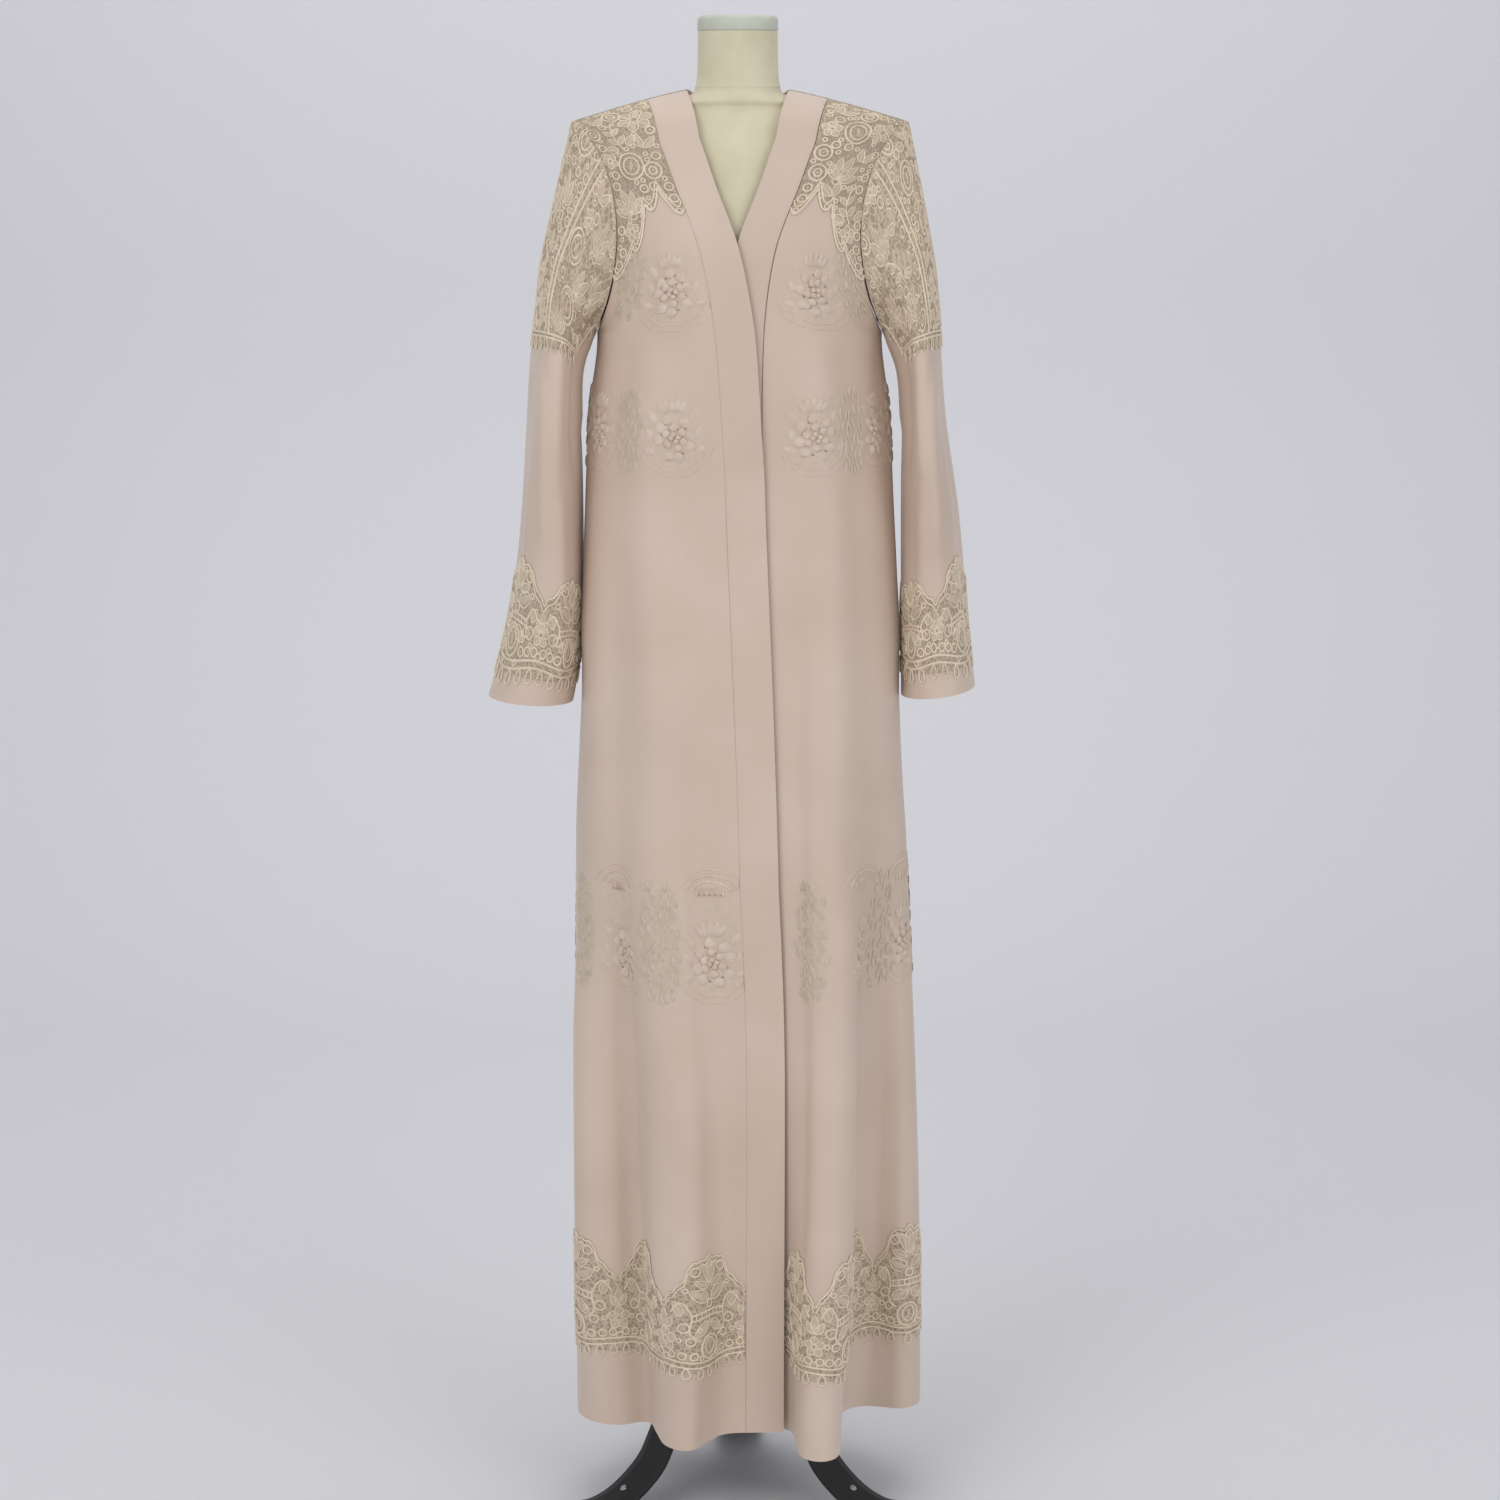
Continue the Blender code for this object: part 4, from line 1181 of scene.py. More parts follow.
@dataclass
class Spot:
    """Where a motif lies on a panel, and how it is turned and sized."""

    panel: Panel
    share: float
    level: float
    turn: float = 0.0
    scale: float = 1.0

    def place(self, path: np.ndarray) -> tuple[np.ndarray, np.ndarray]:
        """Turn a path in millimetres into shares and levels of the panel."""
        angle = math.radians(self.turn)
        x = (path[:, 0] * math.cos(angle) - path[:, 1] * math.sin(angle)) * self.scale
        y = (path[:, 0] * math.sin(angle) + path[:, 1] * math.cos(angle)) * self.scale
        panel = self.panel
        width = float(np.interp(self.level, panel.levels, panel.widths))
        column = int(self.share % 1.0 * panel.span)
        line = panel.down[:, column]
        reach = float(np.interp(self.level, panel.levels, line)) - y / 1000.0
        return self.share + x / 1000.0 / width, np.interp(reach, line, panel.levels)

    def cut(self, stroke: Stroke) -> list[Stroke]:
        """The stroke whole: a motif is only set where it has its room."""
        return [stroke]


@dataclass
class Strip:
    """A border's own lengths: x along it and y up from its lower edge."""

    panel: Panel
    first: float
    last: float
    bottom: float
    length: float
    level_length: float

    def place(self, path: np.ndarray) -> tuple[np.ndarray, np.ndarray]:
        """Turn a path in millimetres into shares and levels of the panel."""
        share = self.first + path[:, 0] / self.length * (self.last - self.first)
        return share, self.bottom - path[:, 1] / 1000.0 / self.level_length

    def cut(self, stroke: Stroke) -> list[Stroke]:
        """The parts of a stroke between the border's two ends."""
        path, widths = stroke.path, stroke.half_widths
        inside = (path[:, 0] > 1.0) & (path[:, 0] < self.length - 1.0)
        if inside.all():
            return [stroke]
        if stroke.is_ring:
            first = int(np.argmin(inside))
            path, widths = np.roll(path, -first, axis=0), np.roll(widths, -first)
            inside = np.roll(inside, -first)
        breaks = np.flatnonzero(np.diff(inside.astype(int))) + 1
        return [Stroke(path[run], widths[run], stroke.height, False, stroke.sides)
                for run in np.split(np.arange(len(path)), breaks)
                if inside[run[0]] and len(run) > 2]


@dataclass
class Applique:
    """Raised strokes laid on one panel, gathered into one mesh a kind."""

    panel: Panel
    lifts: dict[Kind, float]
    places: dict[Kind, list[np.ndarray]] = field(default_factory=dict)
    faces: dict[Kind, list[tuple[int, ...]]] = field(default_factory=dict)
    counts: dict[Kind, int] = field(default_factory=dict)

    def lay(self, work: Work, spot: Spot | Strip) -> None:
        """Lay a motif on the panel.

        Args:
            work: The strokes and what each is worked in.
            spot: Where they lie.
        """
        for kind, whole in work:
            for stroke in spot.cut(whole):
                self.lay_stroke(kind, stroke, spot)

    def lay_stroke(self, kind: Kind, stroke: Stroke, spot: Spot | Strip) -> None:
        """Lay one stroke, bent to the cloth under it."""
        if stroke.is_ring:
            along = np.roll(stroke.path, -1, axis=0) - np.roll(stroke.path, 1, axis=0)
        else:
            along = np.gradient(stroke.path, axis=0)
        along = along / np.maximum(np.linalg.norm(along, axis=1, keepdims=True), 1e-9)
        aside = np.stack((along[:, 1], -along[:, 0]), axis=1)
        turns = 2.0 * np.pi * np.arange(stroke.sides) / stroke.sides
        wide = stroke.half_widths[:, None, None] * np.cos(turns)[None, :, None]
        sheet = stroke.path[:, None, :] + aside[:, None, :] * wide
        share, level = spot.place(sheet.reshape(-1, 2))
        base, normal = self.panel.at(share, level, self.lifts[kind])
        rise = np.sin(turns) * np.where(np.sin(turns) > 0.0, 1.0, 0.35)
        bulk = np.minimum(stroke.half_widths / stroke.half_widths.max() * 1.6, 1.0)
        height = (bulk[:, None] * rise[None, :]).reshape(-1, 1) * stroke.height / 1000.0
        ring = (base + normal * height).reshape(len(stroke.path), stroke.sides, 3)
        self.add_tube(kind, ring, stroke.is_ring)

    def lay_line(self, kind: Kind, shares: np.ndarray, levels: np.ndarray, radius: float,
                 sides: int = 5, is_ring: bool = False) -> None:
        """Lay a round cord through shares and levels of the panel.

        Args:
            kind: What it is worked in.
            shares: Shares along it.
            levels: Levels along it.
            radius: Its radius in millimetres.
            sides: Its sides.
            is_ring: Whether it closes on itself.
        """
        centre, normal = self.panel.at(shares, levels, self.lifts[kind])
        along = np.gradient(centre, axis=0)
        aside = np.cross(normal, along)
        aside /= np.maximum(np.linalg.norm(aside, axis=1, keepdims=True), 1e-12)
        turns = 2.0 * np.pi * np.arange(sides) / sides
        rise = np.sin(turns) * np.where(np.sin(turns) > 0.0, 1.0, 0.35)
        ring = centre[:, None, :] + aside[:, None, :] * np.cos(turns)[None, :, None] * radius / 1e3
        ring = ring + normal[:, None, :] * rise[None, :, None] * radius / 1e3
        self.add_tube(kind, ring, is_ring)

    def add_tube(self, kind: Kind, ring: np.ndarray, is_ring: bool) -> None:
        """Skin rings of points into a closed tube of a kind."""
        if self.panel.is_turned:
            ring = ring[:, ::-1]
        start = self.counts.get(kind, 0)
        stations, sides = ring.shape[:2]
        faces = self.faces.setdefault(kind, [])
        last = stations if is_ring else stations - 1
        for station in range(last):
            base = start + station * sides
            ahead = start + (station + 1) % stations * sides
            for side in range(sides):
                after = (side + 1) % sides
                faces.append((base + side, base + after, ahead + after, ahead + side))
        if not is_ring:
            faces.append(tuple(range(start + sides - 1, start - 1, -1)))
            end = start + (stations - 1) * sides
            faces.append(tuple(range(end, end + sides)))
        self.places.setdefault(kind, []).append(ring.reshape(-1, 3))
        self.counts[kind] = start + stations * sides

    def finish(self, name: str, finishes: dict[Kind, bpy.types.Material]
               ) -> list[bpy.types.Object]:
        """Make one object for each kind of stroke that was laid."""
        pieces = []
        for kind, places in self.places.items():
            piece = mesh_object(f"{name}_{kind.value}", np.concatenate(places),
                                self.faces[kind], finishes[kind])
            mesh = bmesh.new()
            mesh.from_mesh(piece.data)
            bmesh.ops.recalc_face_normals(mesh, faces=mesh.faces[:])
            mesh.to_mesh(piece.data)
            mesh.free()
            pieces.append(piece)
        return pieces


# Motifs, in millimetres, y up


def curve(points: Sequence[Point2], count: int) -> np.ndarray:
    """A smooth path through points."""
    last = len(points) - 1
    return np.array([blend(points, last * index / (count - 1)) for index in range(count)])


def cord(path: np.ndarray, radius: float = 1.1, is_ring: bool = False) -> tuple[Kind, Stroke]:
    """A round cord along a path."""
    return Kind.CORD, Stroke(path, np.full(len(path), radius), radius, is_ring, 5)


def oval(x: float, y: float, half_width: float, half_height: float, count: int = 12,
         radius: float = 1.0) -> tuple[Kind, Stroke]:
    """A closed oval of cord."""
    turns = 2.0 * np.pi * np.arange(count) / count
    path = np.stack((x + half_width * np.cos(turns), y + half_height * np.sin(turns)), axis=1)
    return cord(path, radius, True)


def dot(x: float, y: float, radius: float = 1.6) -> tuple[Kind, Stroke]:
    """A small filled round."""
    path = np.array([(x + radius * share, y) for share in (-1.0, -0.6, 0.0, 0.6, 1.0)])
    widths = radius * np.array((0.15, 0.8, 1.0, 0.8, 0.15))
    return Kind.FILL, Stroke(path, widths, 1.1)


def petal(x: float, y: float, turn: float, length: float, width: float,
          is_rimmed: bool = True, bend: float = 0.0, height: float = 0.95) -> Work:
    """A filled petal or leaf from its base.

    Args:
        x: Its base.
        y: Its base.
        turn: Where it points, in degrees from x.
        length: Its length.
        width: Its greatest width.
        is_rimmed: Whether a cord goes round it.
        bend: How far its middle stands off to the left, as a share of its length.
        height: How far it is raised.

    Returns:
        The strokes.
    """
    angle = math.radians(turn)
    ahead = np.array((math.cos(angle), math.sin(angle)))
    aside = np.array((-ahead[1], ahead[0]))
    shares = np.linspace(0.0, 1.0, 6)
    profile = np.sin(np.pi * shares ** 0.85) ** 0.8 * 0.5 * width
    arch = bend * length * np.sin(np.pi * shares)
    spine = np.array((x, y)) + shares[:, None] * length * ahead + arch[:, None] * aside
    inner = 0.70 if is_rimmed else 1.0
    work: Work = [(Kind.FILL, Stroke(spine, np.maximum(profile * inner, 0.2), height))]
    if is_rimmed:
        left = spine + profile[:, None] * aside
        right = spine - profile[:, None] * aside
        rim = np.concatenate((left, right[-2:0:-1]))
        work.append(cord(rim, 0.85, True))
    return work


def teardrop(x: float, y: float, turn: float, length: float, width: float,
             radius: float = 0.95) -> Work:
    """An open loop of cord, pointed at its base."""
    angle = math.radians(turn)
    ahead = np.array((math.cos(angle), math.sin(angle)))
    aside = np.array((-ahead[1], ahead[0]))
    turns = 2.0 * np.pi * np.arange(12) / 12
    reach = 0.5 * length * (1.0 - np.cos(turns))
    spread = 0.5 * width * np.sin(turns) * (0.35 + 0.65 * reach / length)
    path = np.array((x, y)) + reach[:, None] * ahead + spread[:, None] * aside
    return [cord(path, radius, True)]


def eyelet(x: float, y: float, radius: float) -> Work:
    """A ring of cord with a dot in it."""
    return [oval(x, y, radius, radius, 10, 1.0), dot(x, y, radius * 0.34)]


def floret(x: float, y: float, radius: float, petals: int, start: float = 90.0) -> Work:
    """A round flower with a ringed heart."""
    work: Work = [oval(x, y, radius * 0.22, radius * 0.22, 8, 0.9)]
    for index in range(petals):
        turn = start + 360.0 * index / petals
        angle = math.radians(turn)
        base = (x + 0.26 * radius * math.cos(angle), y + 0.26 * radius * math.sin(angle))
        width = 0.74 * radius * 2.0 * math.pi / petals * 0.78
        work += petal(*base, turn, 0.74 * radius, width, radius > 8.0)
    return work


def fan(x: float, y: float, turn: float, spread: float, petals: int, length: float,
        width: float, is_rimmed: bool = False) -> Work:
    """Petals spread from one base."""
    work: Work = []
    for index in range(petals):
        share = index / (petals - 1) - 0.5
        size = length * (1.0 - 0.28 * abs(share) * 2.0)
        work += petal(x, y, turn + spread * share, size, width, is_rimmed, 0.10 * share)
    return work


def spray(x: float, y: float, turn: float, length: float, leaves: int) -> Work:
    """A curved stem with leaves in pairs."""
    angle = math.radians(turn)
    ahead = np.array((math.cos(angle), math.sin(angle)))
    aside = np.array((-ahead[1], ahead[0]))
    base = np.array((x, y))
    shares = np.linspace(0.0, 1.0, 9)
    arch = 0.12 * length * np.sin(np.pi * shares)
    stem = base + shares[:, None] * length * ahead + arch[:, None] * aside
    work: Work = [cord(stem, 0.9)]
    for index in range(leaves):
        share = (index + 0.7) / leaves
        spot = base + share * length * ahead + 0.12 * length * math.sin(math.pi * share) * aside
        for side in (-1.0, 1.0):
            size = 0.40 * length * (1.0 - 0.3 * share)
            work += petal(*spot, turn + side * 48.0, size, 0.42 * size, size > 12.0)
    return work


def lace_repeat(left: float, width: float, top: Callable[[float], float]) -> Work:
    """One repeat of the crowned border.

    Args:
        left: Where it starts along the border.
        width: Its width.
        top: Height of the border's upper edge at a place along it.

    Returns:
        The strokes.
    """
    middle = left + width / 2.0
    wide = width / 96.0
    tall = top(middle) / 141.0
    work: Work = []
    loops = max(round(width / 15.5), 4)
    for index in range(loops):
        x = left + (index + 0.5) * width / loops
        work += teardrop(x, border_line(x - middle, width) - 0.5, -90.0, 12.0, 10.5)
    work += [oval(middle, 35.0, 12.5 * wide, 13.5, 18, 1.2),
             oval(middle, 36.0, 7.6 * wide, 9.0, 14, 1.0)]
    work += petal(middle, 29.0, 90.0, 13.0, 4.5, False)
    work += petal(middle, 57.0 * tall, 90.0, 16.0, 5.0, False)
    work += eyelet(middle, 84.0 * tall, 4.4)
    for height in (70.0, 76.5):
        line = curve(((middle - 22.0 * wide, height * tall - 2.0), (middle, height * tall),
                      (middle + 22.0 * wide, height * tall - 2.0)), 11)
        work.append(cord(line, 1.1))
    for index in range(-3, 4):
        x = middle + 6.0 * index * wide
        rung = np.array([(x, 69.5 * tall), (x, 76.0 * tall)])
        work.append(cord(rung, 0.75))
    for side in (-1.0, 1.0):
        turn = 90.0 - side * 90.0
        for offset in (20.0, 30.5, 41.0):
            x = middle + side * offset * wide
            work += eyelet(x, border_line(x - middle, width) + 13.0, 3.9)
        work += petal(middle + side * 2.0, 64.0 * tall, turn - side * 36.0, 23.0 * wide, 11.0)
        work += petal(middle + side * 2.0, 89.0 * tall, turn + side * 26.0, 25.0 * wide, 14.0)
        work += petal(middle + side * 1.5, 106.0 * tall, 90.0 - side * 27.0, 29.0 * tall, 9.5,
                      True, side * 0.14)
        work += petal(middle + side * 3.0, 103.0 * tall, 90.0 - side * 64.0, 19.0 * wide, 8.0)
        work += eyelet(middle + side * 18.0 * wide, 123.0 * tall, 5.2)
        work += eyelet(middle + side * 29.0 * wide, 61.0 * tall, 5.4)
        work += eyelet(middle + side * 23.0 * wide, 45.0, 4.4)
        work += petal(middle + side * 31.0 * wide, 74.0 * tall, 90.0 - side * 26.0,
                      19.0 * tall, 9.0, True, side * 0.1)
        vine = ((middle + side * 14.0 * wide, 44.0), (middle + side * 24.0 * wide, 55.0 * tall),
                (middle + side * 22.0 * wide, 74.0 * tall),
                (middle + side * 31.0 * wide, 90.0 * tall),
                (middle + side * 41.0 * wide, 78.0 * tall))
        work.append(cord(curve(vine, 15), 1.1))
        for x, y in ((14.0, 56.0), (33.0, 47.0), (12.5, 24.5), (27.0, 103.0)):
            work.append(oval(middle + side * x * wide, y * tall, 2.5, 2.5, 7, 0.9))
    return work + petal(middle, 104.0 * tall, 90.0, 34.0 * tall, 10.5)


def lace_valley(x: float, width: float, top: Callable[[float], float]) -> Work:
    """What stands in the notch between two crowns of the border."""
    wide = width / 96.0
    tall = top(x) / 92.0
    work = floret(x, 47.0, 13.0 * wide, 5)
    work += fan(x, 63.0 * tall, 90.0, 76.0, 3, 22.0 * tall, 7.5, True)
    return work + eyelet(x, 27.0, 3.6)


def little_motif(seed: int) -> Work:
    """A small filler of the lace yokes: a flower, a pair of leaves or a ringed seed."""
    kind = seed % 3
    if kind == 0:
        return floret(0.0, 0.0, 10.5, 5, 27.0 * seed)
    if kind == 1:
        work = petal(0.0, -8.0, 118.0, 18.0, 8.5, True, 0.1)
        return work + petal(0.0, -8.0, 62.0, 18.0, 8.5, True, -0.1)
    return [oval(0.0, 0.0, 8.6, 9.6, 14, 1.1), oval(0.0, 0.0, 4.0, 4.6, 9, 1.0),
            dot(0.0, 0.0, 1.7)]


def border_line(offset: float, width: float) -> float:
    """Height of the wavy double cord at an offset from a repeat's middle."""
    return 15.5 - 2.6 * math.cos(2.0 * math.pi * offset / width)


def embroidery_motif(seed: int) -> Work:
    """A raised rose of round petals, with leaves over it and an arc below."""
    draw = random.Random(seed)
    turn = draw.uniform(0.0, 50.0)
    work: Work = []
    rings = ((8, 10.5, 12.0, 11.5, 2.3), (6, 4.5, 9.5, 9.0, 3.1), (4, 0.5, 6.0, 6.5, 3.7))
    for count, near, length, wide, rise in rings:
        for index in range(count):
            angle = turn + 360.0 * (index + 0.4 * (count == 6)) / count + draw.uniform(-8.0, 8.0)
            radians = math.radians(angle)
            base = (0.86 * near * math.cos(radians), near * math.sin(radians) * 1.25 - 4.0)
            work += petal(*base, angle, length, wide, False, draw.uniform(-0.1, 0.1), rise)
            radians += math.pi / count
            if count > 4 and draw.random() < 0.75:
                hole = (0.86 * (near + 3.5) * math.cos(radians),
                        (near + 3.5) * math.sin(radians) * 1.25 - 4.0)
                # a dark dot of painted shade in the gap between two petals
                work.append((Kind.SHADE, dot(*hole, 1.3)[1]))
    for index in range(5):
        lean = 34.0 * (index - 2) / 2.0
        work += petal(0.35 * lean * -0.5, 20.0, 90.0 + lean, 17.0 - 1.5 * abs(index - 2), 7.5,
                      False, 0.0, 2.1)
    for side in (-1.0, 1.0):
        work += petal(side * 17.0, 10.0, 90.0 - side * 30.0, 15.0, 7.5, False, side * 0.1, 1.2)
        work += petal(side * 21.0, -6.0, 90.0 - side * 24.0, 14.0, 7.0, False, side * 0.1, 1.2)
        work += petal(side * 19.0, -18.0, 90.0 - side * 70.0, 12.0, 6.5, False, side * 0.1, 1.1)
    turns = np.radians(np.linspace(200.0, 340.0, 33))
    for reach in (30.0, 35.5):
        wave = reach + 1.5 * np.abs(np.sin(6.0 * turns))
        path = np.stack((wave * np.cos(turns), 1.15 * wave * np.sin(turns)), axis=1)
        work.append(cord(path, 0.85))
    return work


def lace_motif(seed: int) -> Work:
    """A motif of the lace yokes: a flower, a leafy spray, a medallion or a lily."""
    draw = random.Random(seed)
    kind = seed % 4
    if kind == 0:
        return floret(0.0, 0.0, 18.0, 6, draw.uniform(0.0, 60.0))
    if kind == 1:
        work = spray(0.0, -18.0, draw.uniform(70.0, 110.0), 38.0, 3)
        return work + petal(-6.0, -15.0, 150.0, 17.0, 9.0) + petal(6.0, -15.0, 30.0, 17.0, 9.0)
    if kind == 2:
        work = petal(0.0, -7.0, 90.0, 14.0, 5.0, False)
        work += [oval(0.0, 0.0, 8.5, 10.5, 14, 1.0), oval(0.0, 0.0, 13.5, 16.0, 18, 1.1)]
        return work
    return (fan(0.0, -16.0, 90.0, 110.0, 5, 31.0, 9.0, True)
            + [oval(0.0, -18.5, 4.0, 3.0, 8, 0.9)])


# The garment


LACE_LIFTS = {Kind.CORD: 0.0022, Kind.FILL: 0.0021, Kind.TINT: 0.0020, Kind.SHADE: 0.0020}
CLOTH_LIFTS = {Kind.CORD: 0.0012, Kind.FILL: 0.0011, Kind.TINT: 0.0012, Kind.SHADE: 0.0012}


@dataclass
class Finishes:
    """Every material of the garment, the form and the stand."""

    cloth: bpy.types.Material = field(default_factory=lambda: SatinCrepe().make())
    net: bpy.types.Material = field(default_factory=lambda: LaceNet().make())
    lace_cord: bpy.types.Material = field(
        default_factory=lambda: StitchedThread("lace_cord", "E8DAC4", "DDCDB5").make())
    lace_fill: bpy.types.Material = field(
        default_factory=lambda: StitchedThread("lace_fill", "CFBFA9", "C6B59F").make())
    stitch: bpy.types.Material = field(
        default_factory=lambda: StitchedThread("cloth_thread", "D9C7B7", "CEBBAA").make())
    tint: bpy.types.Material = field(
        default_factory=lambda: StitchedThread("grey_green_thread", "D0C1B0", "C6B7A5").make())
    # painted shade: a dark thread colour that stands for the shade in holes between petals and
    # along the band seams
    shade: bpy.types.Material = field(
        default_factory=lambda: StitchedThread("cutwork_shade", "AA9786", "9F8B7A").make())
    jersey: bpy.types.Material = field(default_factory=lambda: Jersey().make())
    cap: bpy.types.Material = field(default_factory=lambda: HardFinish(
        "moulded_cap_plastic", "C9CCBF", "C0C3B5", 0.45).make())
    paint: bpy.types.Material = field(default_factory=lambda: HardFinish(
        "black_powder_coat", "161518", "121113", 0.58).make())
    screw: bpy.types.Material = field(default_factory=lambda: HardFinish(
        "zinc_plated_steel", "C6C8CC", "AEB0B4", 0.30, 1.0).make())

    @property
    def lace(self) -> dict[Kind, bpy.types.Material]:
        """The materials of lace, by kind of stroke."""
        return {Kind.CORD: self.lace_cord, Kind.FILL: self.lace_fill, Kind.TINT: self.tint,
                Kind.SHADE: self.shade}

    @property
    def embroidery(self) -> dict[Kind, bpy.types.Material]:
        """The materials of embroidery on the cloth, by kind of stroke."""
        return {Kind.CORD: self.stitch, Kind.FILL: self.stitch, Kind.TINT: self.tint,
                Kind.SHADE: self.shade}


def declare(piece: bpy.types.Object, slot: str, *nodes: str) -> None:
    """Make a piece ride on the body and hide the nodes that it stands for."""
    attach(piece, "root")
    for node in nodes:
        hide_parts(node)


@dataclass
class LaceBorder:
    """A crowned border of lace along the lower edge of a panel."""

    panel: Panel
    span: LaceSpan
    first: float
    last: float
    repeats: int
    level_length: float = 1.0
    shift: float = 0.0
    net_rise: float = 0.0095

    def height_at(self, x: float) -> float:
        """Height of the upper edge in millimetres at a place along the border."""
        wave = crown(x / self.length * self.repeats + self.shift)
        level = self.span.valley + (self.span.top - self.span.valley) * wave
        petals = round(self.length / self.repeats / 12.0)
        bump = 3.0 * (1.0 - scallop(x / self.length * self.repeats * petals))
        return (self.span.bottom - level) * self.level_length * 1000.0 - bump

    @property
    def length(self) -> float:
        """The border's length in millimetres."""
        middle = (self.span.top + self.span.bottom) / 2.0
        width = float(np.interp(middle, self.panel.levels, self.panel.widths))
        return width * (self.last - self.first) * 1000.0

    def build(self, name: str, node: str, finishes: Finishes) -> None:
        """Build the net and its corded motifs.

        Args:
            name: The start of the pieces' names.
            node: The CAD node that they stand for.
            finishes: The materials.
        """
        length = self.length

        def top_level(share: float) -> float:
            x = (share - self.first) / (self.last - self.first) * length
            return self.span.bottom - self.height_at(x) / 1000.0 / self.level_length

        lower = self.span.bottom - self.net_rise / self.level_length
        patch = NetPatch(self.panel, top_level, lambda share: lower, self.first, self.last)
        net, area = patch.build(f"{name}_net", finishes.net)
        declare(net, "lace", node)
        applique = Applique(self.panel, LACE_LIFTS)
        self.lay_cords(applique, length)
        raised = applique.finish(name, finishes.lace)
        for piece in raised:
            declare(piece, "lace")

    def lay_cords(self, applique: Applique, length: float) -> None:
        """Lay the repeats, the notches between them and the long cords."""
        strip = Strip(self.panel, self.first, self.last, self.span.bottom, length,
                      self.level_length)
        width = length / self.repeats
        for index in range(self.repeats + math.ceil(self.shift)):
            left = (index - self.shift) * width
            applique.lay(lace_repeat(left, width, self.height_at), strip)
        for index in range(self.repeats + 1):
            x = (index + self.shift) * width
            if x <= length + 0.1:
                applique.lay(lace_valley(x, width, self.height_at), strip)
        along = np.linspace(1.1, length - 1.1, 36 * self.repeats)
        for rise in (0.0, 6.0):
            wavy = []
            for x in along:
                offset = ((x / width + self.shift) % 1.0 - 0.5) * width
                wavy.append((x, border_line(offset, width) + rise))
            applique.lay([cord(np.array(wavy), 1.1)], strip)
        for inset_by, radius in ((1.2, 1.1), (6.8, 0.85)):
            wavy = np.array([(x, self.height_at(x) - inset_by) for x in along])
            applique.lay([cord(wavy, radius)], strip)


